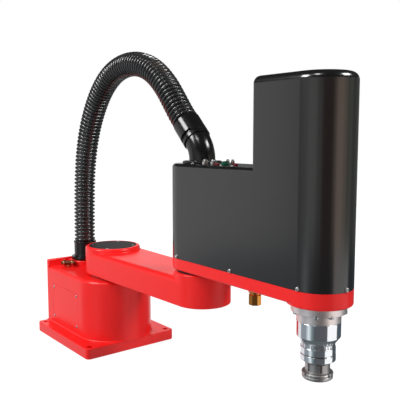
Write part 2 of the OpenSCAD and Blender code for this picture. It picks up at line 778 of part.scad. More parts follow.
module arm1_casting() {
    color([0.85, 0.1, 0.1]) difference() {
        arm1_solid();
        arm1_pockets();
        translate([0, 0, boss_top - cap_t]) cylinder(r = cap_r + panel_gap, h = cap_t + eps);
        translate([0, 0, arm1_bottom + boss_floor_t]) cylinder(r = cap_r - 10, h = boss_top);
        translate([0, 0, arm1_bottom - eps]) cylinder(r = arm1_hub_bore_r, h = boss_floor_t + 2 * eps);
        ring_of(flange_bolt_n, first_bolt_r) translate([0, 0, arm1_bottom - eps]) cylinder(d = m5_d, h = boss_floor_t + 2 * eps, $fn = 24);
        ring_of(4, cap_screw_r, 45) translate([0, 0, boss_top - cap_t - 8]) cylinder(d = small_screw_d, h = 9, $fn = 24);
        translate([arm1_l, 0, arm1_bottom - eps]) cylinder(r = second_boss_pocket_r, h = boss_top - arm1_bottom - boss_floor_t);
        translate([arm1_l, 0, boss_top - boss_floor_t - 1]) {
            cylinder(r = second_hub_r / 2, h = boss_floor_t + 2);
            ring_of(flange_bolt_n, second_bolt_r) cylinder(d = m5_d, h = boss_floor_t + 2, $fn = 24);
        }
    }
}

module first_flange_bolts() {
    color([0.3, 0.3, 0.32]) ring_of(flange_bolt_n, first_bolt_r)
        translate([0, 0, arm1_bottom + boss_floor_t]) socket_bolt(m5_d, boss_floor_t + 8, m5_head_d, m5_head_h);
}

module first_axis_cap() {
    color([0.24, 0.25, 0.26]) difference() {
        translate([0, 0, boss_top - cap_t]) cylinder(r = cap_r, h = cap_t);
        ring_of(4, cap_screw_r, 45) translate([0, 0, boss_top - cap_t - eps]) cylinder(d = small_screw_d, h = cap_t + 2 * eps, $fn = 24);
        ring_of(4, cap_screw_r, 45) translate([0, 0, boss_top - small_head_h]) cylinder(d = small_head_d, h = small_head_h + eps, $fn = 32);
    }
}

module cap_screws() {
    color([0.75, 0.75, 0.77]) ring_of(4, cap_screw_r, 45)
        translate([0, 0, boss_top - small_head_h]) pan_screw(small_screw_d, 8, small_head_d, small_head_h);
}

module second_output_flange() {
    color([0.78, 0.78, 0.8]) translate([arm1_l, 0, 0]) difference() {
        union() {
            translate([0, 0, boss_top]) cylinder(r = second_ring_r, h = arm_gap - 0.6);
            translate([0, 0, boss_top + arm_gap - 0.6 - eps]) cylinder(r = second_hub_r, h = second_hub_top - boss_top - arm_gap + 0.6);
        }
        translate([0, 0, boss_top + arm_gap + 4]) cylinder(r = second_hub_r - 5, h = 60);
        ring_of(flange_bolt_n, second_bolt_r) translate([0, 0, boss_top - eps]) cylinder(d = m5_d, h = arm_gap + 3, $fn = 24);
    }
}

module second_flange_bolts() {
    color([0.3, 0.3, 0.32]) translate([arm1_l, 0, boss_top - boss_floor_t]) ring_of(flange_bolt_n, second_bolt_r)
        mirror([0, 0, 1]) socket_bolt(m5_d, boss_floor_t + arm_gap + 1, m5_head_d, m5_head_h);
}

// Second arm

module arm2_plan(inset = 0) {
    translate([-arm2_back, 0]) arm_plan(arm2_r - inset, arm2_r - inset, arm2_l + arm2_back);
}

module arm2_prism(inset, z0, z1) {
    translate([arm2_x, 0, z0]) linear_extrude(z1 - z0) arm2_plan(inset);
}

wrist_post_step = 30;
under_fitting_back = 135;
under_fitting_x = tool_x - under_fitting_back;
under_fitting_r = 11;

module bracket_post_places() {
    for (y = [-1, 1]) {
        translate([tool_x - column_back + 10, y * post_y, floor_top]) children();
        translate([tool_x + front_post_x, y * sqrt(pow(front_post_place_r, 2) - pow(front_post_x, 2)), floor_top]) children();
    }
}

module wrist_post_places() {
    for (x = [-1, 1], y = [-1, 1]) translate([wrist_motor_x + x * wrist_post_step, y * post_y, floor_top]) children();
}

cover_screw_rear = 12;
cover_screw_middle = 133;
cover_screw_lead = 3;

module cover_screw_places() {
    for (x = [arm2_x - cover_screw_rear, arm2_x + cover_screw_middle, tool_x + cover_screw_lead], y = [-1, 1])
        translate([x, y * (x > tool_x ? sqrt(pow(arm2_r, 2) - pow(cover_screw_lead, 2)) : arm2_r), cover_screw_z])
            rotate([-y * 90, 0, 0]) children();
    translate([tool_x + arm2_r, 0, cover_screw_z]) rotate([0, 90, 0]) children();
    translate([arm2_x - arm2_back - arm2_r, 0, cover_screw_z]) rotate([0, -90, 0]) children();
}

module arm2_casting() {
    color([0.85, 0.1, 0.1]) difference() {
        union() {
            arm2_prism(0, arm2_bottom, casting_top);
            arm2_prism(cover_t + panel_gap, arm2_bottom, casting_top + lip_h);
            translate([tool_x, 0, boss_bottom]) cylinder(r = arm2_r, h = tool_boss_drop + 5);
        }
        difference() {
            arm2_prism(cover_t + panel_gap + lip_t, floor_top, casting_top + lip_h + 1);
            translate([tool_x, 0, floor_top - 1]) cylinder(r = tool_boss_r, h = casting_top - floor_top - 1);
        }
        translate([arm2_x, 0, arm2_bottom - eps]) cylinder(r = second_reducer_r + run_gap, h = arm2_floor_t + 2 * eps);
        translate([tool_x, 0, boss_bottom - eps]) cylinder(r = quill_bore_r + 4.1, h = 60);
        translate([under_fitting_x, 0, arm2_bottom - eps]) cylinder(r = under_fitting_r - 4, h = arm2_floor_t + 2 * eps);
        cover_screw_places() translate([0, 0, -cover_t - lip_t - 1]) cylinder(d = small_screw_d, h = cover_t + lip_t + 2, $fn = 24);
        bracket_post_places() translate([0, 0, -6]) cylinder(d = 4, h = 7, $fn = 24);
        wrist_post_places() translate([0, 0, -6]) cylinder(d = 4, h = 7, $fn = 24);
        translate([tool_x, 0, boss_bottom - eps]) quill_bolt_ring() cylinder(d = m5_d, h = 14, $fn = 24);
    }
}

module cover_outside() {
    step = cover_edge_r * 0.35;
    for (s = [[0, cover_edge_r], [step, step], [cover_edge_r, 0]]) {
        arm2_prism(s[0], casting_top, cover_low_top - s[1]);
        intersection() {
            arm2_prism(s[0], casting_top, cover_high_top - s[1]);
            translate([column_x, -arm2_r, casting_top]) cube([column_back + arm2_r, 2 * arm2_r, cover_high_h]);
        }
    }
}

module cover_inside() {
    arm2_prism(cover_t, casting_top - eps, cover_low_top - cover_edge_r);
    arm2_prism(cover_edge_r, casting_top - eps, cover_low_top - cover_t);
    for (s = [[cover_t, cover_edge_r], [cover_edge_r, cover_t]]) intersection() {
        arm2_prism(s[0], casting_top - eps, cover_high_top - s[1]);
        translate([column_x + cover_t, -arm2_r, casting_top - 1])
            cube([column_back + arm2_r, 2 * arm2_r, cover_high_h + 1]);
    }
}

module arm2_cover() {
    color([0.11, 0.11, 0.12]) difference() {
        cover_outside();
        cover_inside();
        translate([arm2_x, 0, cover_low_top - cover_edge_r]) cylinder(r = cover_hole_r, h = 2 * cover_edge_r);
        cover_screw_places() translate([0, 0, -cover_t - 1]) cylinder(d = small_screw_d + 0.4, h = cover_t + 2, $fn = 24);
        cover_fitting_places() translate([0, 0, -cover_t - 1]) cylinder(r = cover_fitting_r * 0.5, h = cover_t + 2, $fn = 32);
        small_fitting_places() translate([0, 0, -cover_t - 1]) cylinder(r = small_fitting_r * 0.5, h = cover_t + 2, $fn = 32);
        green_fitting_place() translate([0, 0, -cover_t - 1]) cylinder(r = green_fitting_r * 0.5, h = cover_t + 2, $fn = 32);
        cover_top_screw_places() translate([0, 0, -cover_t - 1]) cylinder(d = 2.5, h = cover_t + 2, $fn = 24);
        red_button_places() translate([0, 0, -cover_t - 1]) cylinder(r = red_button_r * 0.6, h = cover_t + 2, $fn = 24);
    }
}

module cover_screws() {
    color([0.78, 0.78, 0.8]) cover_screw_places() translate([0, 0, panel_gap]) pan_screw(small_screw_d, 8, m4_head_d, m4_head_h);
}

cover_fitting_r = 5.2;
small_fitting_r = 3.7;
cover_fitting_h = 9;
green_fitting_r = 6.5;
green_fitting_h = 6.5;
red_button_r = 4;

module cover_fitting_places() {
    for (p = [[46, -30], [61, -24]]) translate([arm2_x + p[0], p[1], cover_low_top]) children();
}

module small_fitting_places() {
    for (p = [[76.1, -5.5], [88.7, -5.5]]) translate([arm2_x + p[0], p[1], cover_low_top]) children();
}

module green_fitting_place() {
    translate([arm2_x + 85, -19, cover_low_top]) children();
}

module red_button_places() {
    for (p = [[78, -30], [105, -13]]) translate([arm2_x + p[0], p[1], cover_low_top]) children();
}

module cover_top_screw_places() {
    for (x = [20, 56, 80, 103, 114, 126]) translate([arm2_x + x, -38, cover_low_top]) children();
}

module cover_air_fittings() {
    color([0.78, 0.78, 0.8]) {
        cover_fitting_places()
            air_fitting(cover_fitting_r, cover_fitting_h, cover_fitting_r * 0.5 - run_gap, cover_t + 4);
        small_fitting_places()
            air_fitting(small_fitting_r, cover_fitting_h, small_fitting_r * 0.5 - run_gap, cover_t + 4);
    }
}

module cover_green_fitting() {
    color([0.1, 0.35, 0.25]) green_fitting_place()
        air_fitting(green_fitting_r, green_fitting_h, green_fitting_r * 0.5 - run_gap, cover_t + 4);
}

module cover_red_buttons() {
    color([0.6, 0.05, 0.08]) red_button_places() {
        cylinder(r = red_button_r, h = 3);
        translate([0, 0, -cover_t - 2]) cylinder(r = red_button_r * 0.6 - run_gap, h = cover_t + 2 + eps);
    }
}

module cover_top_screws() {
    color([0.78, 0.78, 0.8]) cover_top_screw_places() pan_screw(2.5 - 0.1, cover_t + 3, 4.6, 1.8);
}

module under_arm_fitting() {
    top = arm2_bottom;
    color([0.75, 0.42, 0.14]) translate([under_fitting_x, 0, 0]) difference() {
        union() {
            translate([0, 0, top - eps]) cylinder(r = under_fitting_r - 4 - run_gap, h = arm2_floor_t + 3);
            translate([0, 0, top - 17]) cylinder(r = under_fitting_r, h = 17);
            translate([0, 0, top - 20]) cylinder(r = under_fitting_r - 2, h = 4);
            translate([0, 0, top - 37]) cylinder(r = under_fitting_r, h = 17, $fn = 8);
        }
        translate([0, 0, top - 37 - eps]) cylinder(r = under_fitting_r - 5, h = 60);
    }
}

// Second axis

module second_reducer_housing() {
    color([0.72, 0.72, 0.74]) translate([arm2_x, 0, 0]) difference() {
        union() {
            translate([0, 0, arm2_bottom]) cylinder(r = second_reducer_r, h = arm2_floor_t + eps);
            translate([0, 0, floor_top]) cylinder(r = arm2_r - cover_t - lip_t - 1.5, h = second_motor_bottom - floor_top);
        }
        translate([0, 0, arm2_bottom - eps]) cylinder(r = second_hub_r + seat_gap, h = second_hub_top - arm2_bottom + 1);
        translate([0, 0, arm2_bottom + 1]) cylinder(r = second_bearing_r + run_gap, h = 10);
        translate([0, 0, arm2_bottom]) cylinder(r = motor_shaft_r + 3, h = 60);
    }
}

module second_bearing() {
    color([0.8, 0.8, 0.82]) translate([arm2_x, 0, 0])
        tube(second_bearing_r, second_hub_r + run_gap, arm2_bottom + 1, arm2_bottom + 11);
}

module second_wave_generator() {
    color([0.6, 0.6, 0.62]) translate([arm2_x, 0, second_hub_top - 9]) difference() {
        cylinder(r = second_hub_r - 6, h = 8);
        translate([0, 0, -eps]) cylinder(r = motor_shaft_r + run_gap, h = 8 + 2 * eps);
    }
}

module second_motor() {
    translate([arm2_x, 0, second_motor_bottom])
        servo(second_motor_w, second_motor_h, second_motor_bottom - second_hub_top + 9, motor_shaft_r);
}

// Elbow and cuff

module elbow_seat() {
    color([0.06, 0.06, 0.07]) translate([arm2_x, 0, 0]) difference() {
        union() {
            translate([0, 0, seat_z]) cylinder(r = elbow_seat_r, h = elbow_seat_h);
            translate([0, 0, seat_z - cover_t - 4]) cylinder(r = cover_hole_r - 0.1, h = cover_t + 4 + eps);
        }
        translate([0, 0, seat_z - cover_t - 4 - eps]) cylinder(r = elbow_spigot_r + run_gap, h = 40);
    }
}

module swivel_elbow() {
    color([0.06, 0.06, 0.07]) union() {
        translate([arm2_x, 0, 0]) tube(elbow_spigot_r, elbow_bore_r, seat_z - 3, elbow_z);
        translate([arm2_x - elbow_bend_r, 0, elbow_z]) rotate([90, 0, 0])
            rotate_extrude(angle = bend_angle) translate([elbow_bend_r, 0]) difference() {
                circle(d = elbow_d);
                circle(r = elbow_bore_r);
            }
    }
}

module along_cuff(from = 0) {
    translate(elbow_end) rotate([0, -bend_angle, 0]) translate([0, 0, from]) children();
}

module conduit_cuff() {
    color([0.06, 0.06, 0.07]) along_cuff() difference() {
        union() {
            cylinder(d = cuff_d, h = 9);
            translate([0, 0, 9 - eps]) cylinder(d = cuff_d - 3, h = 5);
            translate([0, 0, 14 - 2 * eps]) cylinder(d = cuff_d, h = cuff_l - 14);
        }
        translate([0, 0, -eps]) cylinder(r = elbow_bore_r, h = cuff_l + 2 * eps);
    }
}

// The conduit: a tube swept along its points, closed at both ends
function unit(v) = v / norm(v);
function along(points, i) = unit(points[min(i + 1, len(points) - 1)] - points[max(i - 1, 0)]);
function ring_at(points, i, d, n) = [
    for (k = [0:n - 1])
        let (a = 360 * k / n, t = along(points, i), side = [0, 1, 0], up = cross(t, side))
        points[i] + d / 2 / cos(180 / n) * (cos(a) * side + sin(a) * up)
];

module swept_tube(points, d, n) {
    rows = len(points);
    verts = [for (i = [0:rows - 1]) each ring_at(points, i, d, n)];
    sides = [
        for (i = [0:rows - 2], k = [0:n - 1])
            [i * n + k, i * n + (k + 1) % n, (i + 1) * n + (k + 1) % n, (i + 1) * n + k]
    ];
    first = [for (k = [0:n - 1]) n - 1 - k];
    last = [for (k = [0:n - 1]) (rows - 1) * n + k];
    polyhedron(verts, concat([first], sides, [last]), convexity = 6);
}

module conduit() {
    color([0.05, 0.05, 0.06]) swept_tube(conduit_points, conduit_d, conduit_sides);
}

// Quill and tool shaft

quill_bolt_r = 36.5;
quill_bolt_angles = [-55, -22];
quill_bolt_proud = 1.5;
nut_flange_teeth = 12;

// The bolts under the second arm, in four pairs
module quill_bolt_ring() {
    for (a = quill_bolt_angles) ring_of(4, quill_bolt_r, a) children();
}

module quill_flange() {
    color([0.72, 0.71, 0.7]) translate([tool_x, 0, 0]) difference() {
        union() {
            translate([0, 0, flange_bottom]) cylinder(r = quill_flange_r, h = quill_flange_h);
            translate([0, 0, spacer_bottom]) cylinder(r = quill_r, h = quill_spacer_h + eps);
            translate([0, 0, boss_bottom - eps]) cylinder(r = quill_bore_r + 4, h = 12);
        }
        translate([0, 0, spacer_bottom - eps]) cylinder(r = quill_bore_r + 0.5, h = 80);
        quill_bolt_ring() translate([0, 0, flange_bottom - eps]) cylinder(d = m5_d + 2 * panel_gap, h = quill_flange_h + 2 * eps, $fn = 24);
        quill_bolt_ring() translate([0, 0, flange_bottom - quill_bolt_proud - panel_gap])
            cylinder(d = m5_head_d + 2 * panel_gap, h = m5_head_h + panel_gap, $fn = 32);
    }
}

module quill_flange_bolts() {
    color([0.6, 0.6, 0.62]) translate([tool_x, 0, 0]) quill_bolt_ring()
        translate([0, 0, flange_bottom + m5_head_h - quill_bolt_proud]) mirror([0, 0, 1])
            socket_bolt(m5_d, quill_flange_h + 4, m5_head_d, m5_head_h);
}

module quill_housing() {
    color([0.85, 0.85, 0.86]) translate([tool_x, 0, 0]) difference() {
        rotate_extrude() polygon([
            [0, spacer_bottom], [quill_r, spacer_bottom], [quill_r, body_bottom],
            [quill_nose_r, cone_bottom], [0, cone_bottom]
        ]);
        translate([0, 0, cone_bottom - eps]) cylinder(r = sleeve_r + seat_gap, h = 80);
        translate([0, 0, body_bottom]) cylinder(r = quill_bore_r + 0.5, h = 80);
    }
}

bearing_h = 12;

module spline_nut_bearings() {
    color([0.8, 0.8, 0.82]) translate([tool_x, 0, 0]) {
        tube(quill_bore_r + 0.5 - run_gap, sleeve_r + run_gap, body_bottom, body_bottom + bearing_h);
        tube(quill_bore_r + 0.5 - run_gap, sleeve_r + run_gap, boss_bottom - bearing_h, boss_bottom);
    }
}

module spline_nut() {
    color([0.7, 0.7, 0.72]) translate([tool_x, 0, 0]) difference() {
        union() {
            translate([0, 0, lower_ring_bottom + lower_ring_h + ring_groove_h])
                cylinder(r = sleeve_r, h = wrist_belt_z + belt_w + 3 - upper_ring_bottom);
            translate([0, 0, toothed_bottom]) cylinder(r = quill_nose_r - 1.6, h = toothed_ring_h - 0.4);
            for (i = [0:nut_flange_teeth - 1]) rotate([0, 0, 360 * i / nut_flange_teeth])
                translate([quill_nose_r - 6, -3.5, toothed_bottom]) cube([6 - 0.4, 7, toothed_ring_h - 0.4]);
            translate([0, 0, lower_ring_bottom]) cylinder(r = sleeve_r, h = lower_ring_h + ring_groove_h + eps);
        }
        translate([0, 0, lower_ring_bottom - eps]) cylinder(r = shaft_r + run_gap, h = 200);
    }
}

upper_ring_r = 26;
lower_ring_r = 26.3;

module lock_rings() {
    color([0.82, 0.82, 0.84]) translate([tool_x, 0, 0]) {
        tube(upper_ring_r, sleeve_r, upper_ring_bottom, toothed_bottom);
        tube(lower_ring_r, sleeve_r, lower_ring_bottom, lower_ring_bottom + lower_ring_h);
    }
}

module tool_shaft() {
    color([0.8, 0.8, 0.82]) translate([tool_x, 0, 0]) difference() {
        union() {
            translate([0, 0, tool_end_z]) cylinder(r = shaft_r, h = shaft_top - tool_end_z);
            translate([0, 0, tool_end_z]) cylinder(r = tool_flange_r, h = tool_flange_h);
        }
        translate([0, 0, tool_end_z - eps]) cylinder(d = shaft_bore_d, h = shaft_top - tool_end_z + 2 * eps);
        ring_of(4, tool_pcd / 2, 45) translate([0, 0, tool_end_z - eps])
            cylinder(d = tool_hole_d, h = tool_flange_h + 2 * eps, $fn = 32);
    }
}

module stop_collar() {
    slot_n = 4;
    color([0.5, 0.5, 0.52]) translate([tool_x, 0, 0]) difference() {
        translate([0, 0, collar_bottom]) cylinder(r = collar_r, h = collar_h);
        translate([0, 0, collar_bottom - eps]) cylinder(r = shaft_r, h = collar_h + 2 * eps);
        for (i = [0:slot_n - 1]) rotate([0, 0, 45 + 90 * i])
            translate([collar_r - 2.5, -2, collar_bottom + 3]) cube([4, 4, collar_h]);
    }
}

// Drives inside the cover

module drive_bracket() {
    width = 2 * (post_y + post_r);
    color([0.6, 0.6, 0.62]) difference() {
        union() {
            bracket_post_places() cylinder(r = post_r, h = nut_plate_z - floor_top + eps);
            intersection() {
                translate([column_x + cover_t + 1.5, -width / 2, nut_plate_z])
                    cube([column_back + arm2_r, width, nut_plate_t]);
                arm2_prism(cover_t + 1.5, nut_plate_z, nut_plate_z + nut_plate_t);
            }
        }
        translate([tool_x, 0, nut_plate_z - eps]) cylinder(r = screw_nut_bearing_r + run_gap, h = nut_plate_t + 2 * eps);
        translate([lift_motor_x, 0, nut_plate_z - eps]) cylinder(r = motor_shaft_r + 3, h = nut_plate_t + 2 * eps);
    }
}

module lift_motor() {
    translate([lift_motor_x, 0, nut_plate_z]) mirror([0, 0, 1])
        servo(small_motor_w, lift_motor_h, lift_belt_z + belt_w + 1 - nut_plate_z, small_shaft_r);
}

small_shaft_r = 5;

module lift_motor_pulley() {
    translate([lift_motor_x, 0, lift_belt_z]) belt_pulley(driver_r, small_shaft_r + run_gap, belt_w);
}

module lift_belt() {
    translate([lift_motor_x, 0, lift_belt_z]) closed_belt(driver_r, driven_r, lift_motor_back, belt_w - 0.6);
}

module screw_nut() {
    color([0.7, 0.7, 0.72]) difference() {
        union() {
            translate([tool_x, 0, nut_plate_z - screw_nut_skirt])
                cylinder(r = screw_nut_r, h = lift_belt_z - nut_plate_z + screw_nut_skirt);
            translate([tool_x, 0, lift_belt_z]) belt_pulley(driven_r, shaft_r + 1, belt_w);
        }
        translate([tool_x, 0, nut_plate_z - screw_nut_skirt - 1])
            cylinder(r = shaft_r + run_gap, h = lift_belt_z + belt_w - nut_plate_z + screw_nut_skirt + 4);
    }
}

module screw_nut_bearing() {
    color([0.8, 0.8, 0.82]) translate([tool_x, 0, 0])
        tube(screw_nut_bearing_r, screw_nut_r + run_gap, nut_plate_z, nut_plate_z + nut_plate_t);
}

module wrist_motor_bracket() {
    color([0.6, 0.6, 0.62]) difference() {
        union() {
            wrist_post_places() cylinder(r = post_r, h = wrist_plate_z - floor_top + eps);
            translate([wrist_motor_x, 0, wrist_plate_z])
                round_plate(2 * (wrist_post_step + post_r), 2 * (post_y + post_r), post_r, wrist_plate_t);
        }
        translate([wrist_motor_x, 0, wrist_plate_z - eps]) cylinder(r = motor_shaft_r + 3, h = wrist_plate_t + 2 * eps);
    }
}

module wrist_motor() {
    translate([wrist_motor_x, 0, wrist_plate_z + wrist_plate_t])
        servo(small_motor_w, wrist_motor_h, wrist_plate_z + wrist_plate_t - wrist_belt_z + 1, small_shaft_r);
}

module wrist_motor_pulley() {
    translate([wrist_motor_x, 0, wrist_belt_z]) belt_pulley(driver_r, small_shaft_r + run_gap, belt_w);
}

module wrist_belt() {
    translate([wrist_motor_x, 0, wrist_belt_z]) closed_belt(driver_r, driven_r, wrist_motor_back, belt_w - 0.6);
}

module wrist_driven_pulley() {
    translate([tool_x, 0, wrist_belt_z]) belt_pulley(driven_r, sleeve_r, belt_w);
}

base_casting();
bottom_cover();
bottom_cover_screws();
side_panel();
side_panel_screws();
rear_panel();
rear_panel_screws();
power_connector();
signal_connector();
user_connector();
rear_air_fittings();
tower_brass_fitting();
conduit_gland();
gland_locknut();
first_motor();
first_reducer_housing();
first_bearing();
first_wave_generator();
first_output_flange();
arm1_casting();
first_axis_cap();
cap_screws();
first_flange_bolts();
second_output_flange();
second_flange_bolts();
conduit();
arm2_casting();
arm2_cover();
cover_screws();
cover_top_screws();
second_reducer_housing();
second_bearing();
second_wave_generator();
second_motor();
elbow_seat();
swivel_elbow();
conduit_cuff();
cover_air_fittings();
cover_green_fitting();
cover_red_buttons();
under_arm_fitting();
drive_bracket();
lift_motor();
lift_motor_pulley();
lift_belt();
screw_nut();
screw_nut_bearing();
wrist_motor_bracket();
wrist_motor();
wrist_motor_pulley();
wrist_belt();
wrist_driven_pulley();
quill_flange();
quill_flange_bolts();
quill_housing();
spline_nut_bearings();
spline_nut();
lock_rings();
tool_shaft();
stop_collar();
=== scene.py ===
"""The looks of a four-axis industrial robot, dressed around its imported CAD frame.

Everything is in metres in the row frame: the origin is on the first axis at the base's underside,
+X runs along both arms and +Z is up.
"""
import json
import math

import bmesh
import bpy
from mathutils import Matrix, Vector


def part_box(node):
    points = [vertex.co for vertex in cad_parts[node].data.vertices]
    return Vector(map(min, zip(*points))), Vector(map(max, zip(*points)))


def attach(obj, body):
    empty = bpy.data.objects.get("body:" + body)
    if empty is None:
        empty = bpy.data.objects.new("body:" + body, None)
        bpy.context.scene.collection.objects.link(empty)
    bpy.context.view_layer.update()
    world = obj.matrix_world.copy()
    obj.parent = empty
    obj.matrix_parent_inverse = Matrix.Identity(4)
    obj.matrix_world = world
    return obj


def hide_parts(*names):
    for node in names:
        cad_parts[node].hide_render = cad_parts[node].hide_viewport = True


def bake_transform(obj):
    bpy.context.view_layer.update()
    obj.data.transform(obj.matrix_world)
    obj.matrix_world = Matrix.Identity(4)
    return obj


bl_info = {
    "name": "Four-axis robot",
    "version": (1, 0, 0),
    "blender": (4, 5, 0),
    "location": "View3D > Sidebar > Robot",
    "description": "Dresses the frame of a four-axis robot: castings, cover, conduit, quill and studio",
    "category": "Object",
}

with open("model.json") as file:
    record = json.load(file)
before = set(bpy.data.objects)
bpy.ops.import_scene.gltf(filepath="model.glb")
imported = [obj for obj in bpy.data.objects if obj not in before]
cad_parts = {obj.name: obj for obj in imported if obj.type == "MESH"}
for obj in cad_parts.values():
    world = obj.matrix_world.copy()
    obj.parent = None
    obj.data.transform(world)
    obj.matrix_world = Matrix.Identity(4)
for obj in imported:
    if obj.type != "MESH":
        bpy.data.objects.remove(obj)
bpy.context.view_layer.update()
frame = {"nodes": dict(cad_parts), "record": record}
MM = 0.001

# Places taken from the frame
BASE_LOW, BASE_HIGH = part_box("base_casting")
COVER_LOW, COVER_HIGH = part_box("arm2_cover")
ARM1_LOW, ARM1_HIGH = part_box("arm1_casting")
ARM2_LOW, ARM2_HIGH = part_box("arm2_casting")
SEAT_LOW, SEAT_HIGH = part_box("elbow_seat")
TOOL_X = sum(corner.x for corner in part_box("stop_collar")) / 2
ARM2_X = sum(corner.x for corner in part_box("elbow_seat")) / 2
GLAND_X = sum(corner.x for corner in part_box("conduit_gland")) / 2

# Heights and radii that more than one piece uses and the frame's boxes don't give
GLAND_SEAT = 167 * MM
TRAY_FLOOR = ARM2_LOW.z + 3.5 * MM
QUILL_R = 33 * MM
SLEEVE_BORE_R = 18.8 * MM
SHAFT_R = 10 * MM
NUT_TEETH = 32
PANEL_CORNER = 1.5 * MM
PANEL_EDGE = 0.5 * MM
PANEL_SCREW = 5.6 * MM, 1.6 * MM
CUFF_LEAN = math.radians(45)


# Outlines: each gives the same number of points, counter-clockwise, whatever its inset

def arc(x, y, r, start, end, steps):
    """Points on an arc round (x, y), from start to end in degrees."""
    angles = (math.radians(start + (end - start) * i / steps) for i in range(steps + 1))
    return [(x + r * math.cos(a), y + r * math.sin(a)) for a in angles]


def round_box(x0, x1, y0, y1, corner, steps=8):
    """The outline of a rectangle with round corners."""
    def outline(inset):
        r = max(corner - inset, 0.2 * MM)
        left, right, low, high = x0 + inset + r, x1 - inset - r, y0 + inset + r, y1 - inset - r
        return (arc(right, low, r, -90, 0, steps) + arc(right, high, r, 0, 90, steps)
                + arc(left, high, r, 90, 180, steps) + arc(left, low, r, 180, 270, steps))
    return outline


def round_front(rear, radius, corner, front_steps=72, steps=6, centre=0.0):
    """The outline of a body with a round front about (centre, 0) and small round corners at the rear."""
    def outline(inset):
        r = radius - inset
        c = max(corner - inset, 0.2 * MM)
        back = rear + inset + c
        return (arc(centre, 0, r, -90, 90, front_steps) + arc(back, r - c, c, 90, 180, steps)
                + arc(back, -(r - c), c, 180, 270, steps))
    return outline


def arm_outline(x0, r0, x1, r1, steps=40):
    """The outline of an arm: two round ends and the straight sides that touch both."""
    lean = math.degrees(math.asin((r0 - r1) / (x1 - x0)))

    def outline(inset):
        return (arc(x1, 0, r1 - inset, -90 + lean, 90 - lean, steps)
                + arc(x0, 0, r0 - inset, 90 - lean, 270 + lean, steps))
    return outline


def round_outline(x, y, radius, steps=96):
    def outline(inset):
        return arc(x, y, radius - inset, 0, 360, steps)[:-1]
    return outline


def lifted(points, z):
    return [Vector((x, y, z)) for x, y in points]


def wall_loops(outline, z0, z1, low_r=0.0, high_r=0.0, steps=6):
    """Loops up a wall from z0 to z1, with rounded lower and upper edges."""
    loops = []
    for r, upper in ((low_r, False), (high_r, True)):
        count = steps if r > 0 else 0
        for i in range(count + 1):
            a = math.radians(90 * i / steps)
            if upper:
                loops.append(lifted(outline(r * (1 - math.cos(a))), z1 - r * (1 - math.sin(a))))
            else:
                loops.append(lifted(outline(r * (1 - math.sin(a))), z0 + r * (1 - math.cos(a))))
    return loops


def filleted(points, radius, steps=4, closed=False):
    """A line of 2D points with each corner turned into a small arc, as far as its neighbours leave room."""
    out = []
    count = len(points)
    for i, here in enumerate(points):
        here = Vector(here)
        if not closed and i in (0, count - 1):
            out.append(here)
            continue
        before, after = Vector(points[i - 1]) - here, Vector(points[(i + 1) % count]) - here
        half = before.angle(after) / 2
        if half > math.radians(88) or half < math.radians(2):
            out.append(here)
            continue
        reach = min(radius / math.tan(half), 0.45 * before.length, 0.45 * after.length)
        r = reach * math.tan(half)
        centre = here + (before.normalized() + after.normalized()).normalized() * r / math.sin(half)
        start = here + before.normalized() * reach - centre
        end = here + after.normalized() * reach - centre
        a0 = math.atan2(start.y, start.x)
        turn = (math.atan2(end.y, end.x) - a0 + math.pi) % (2 * math.pi) - math.pi
        out += [centre + r * Vector((math.cos(a0 + turn * k / steps), math.sin(a0 + turn * k / steps)))
                for k in range(steps + 1)]
    return out


# Meshes

def stack(loops, cap_first=True, cap_last=True):
    """A bmesh of loops joined one to the next, closed at both ends."""
    bm = bmesh.new()
    rows = [[bm.verts.new(p) for p in loop] for loop in loops]
    for low, high in zip(rows, rows[1:]):
        for i in range(len(low)):
            j = (i + 1) % len(low)
            bm.faces.new((low[i], low[j], high[j], high[i]))
    if cap_first:
        bm.faces.new(list(reversed(rows[0])))
    if cap_last:
        bm.faces.new(rows[-1])
    return bm


def lathe(profile, x=0.0, y=0.0, segments=96, closed=False):
    """A bmesh turned round the upright axis through (x, y) from (radius, height) points."""
    bm = bmesh.new()
    rows = []
    for r, z in profile:
        if r < 1e-7:
            rows.append([bm.verts.new((x, y, z))])
        else:
            rows.append([bm.verts.new((px, py, z)) for px, py in arc(x, y, r, 0, 360, segments)[:-1]])
    pairs = list(zip(rows, rows[1:])) + ([(rows[-1], rows[0])] if closed else [])
    for low, high in pairs:
        for i in range(segments):
            j = (i + 1) % segments
            corners = [low[i % len(low)], low[j % len(low)], high[j % len(high)], high[i % len(high)]]
            unique = [v for k, v in enumerate(corners) if v not in corners[:k]]
            if len(unique) > 2:
                bm.faces.new(unique)
    bmesh.ops.recalc_face_normals(bm, faces=bm.faces)
    return bm


def moved(bm, matrix):
    bmesh.ops.transform(bm, matrix=matrix, verts=bm.verts)
    return bm


def joined(*parts):
    """One bmesh that holds all of them as separate shells."""
    whole = bmesh.new()
    for bm in parts:
        mesh = bpy.data.meshes.new("part")
        bm.to_mesh(mesh)
        bm.free()
        whole.from_mesh(mesh)
        bpy.data.meshes.remove(mesh)
    return whole


def scratch_object(bm, name="scratch"):
    mesh = bpy.data.meshes.new(name)
    bm.to_mesh(mesh)
    bm.free()
    obj = bpy.data.objects.new(name, mesh)
    bpy.context.scene.collection.objects.link(obj)
    return obj


def evaluated_mesh(obj):
    """The object's mesh with its modifiers applied; the object itself is removed."""
    graph = bpy.context.evaluated_depsgraph_get()
    graph.update()
    mesh = bpy.data.meshes.new_from_object(obj.evaluated_get(graph), depsgraph=graph)
    bpy.data.objects.remove(obj)
    return mesh


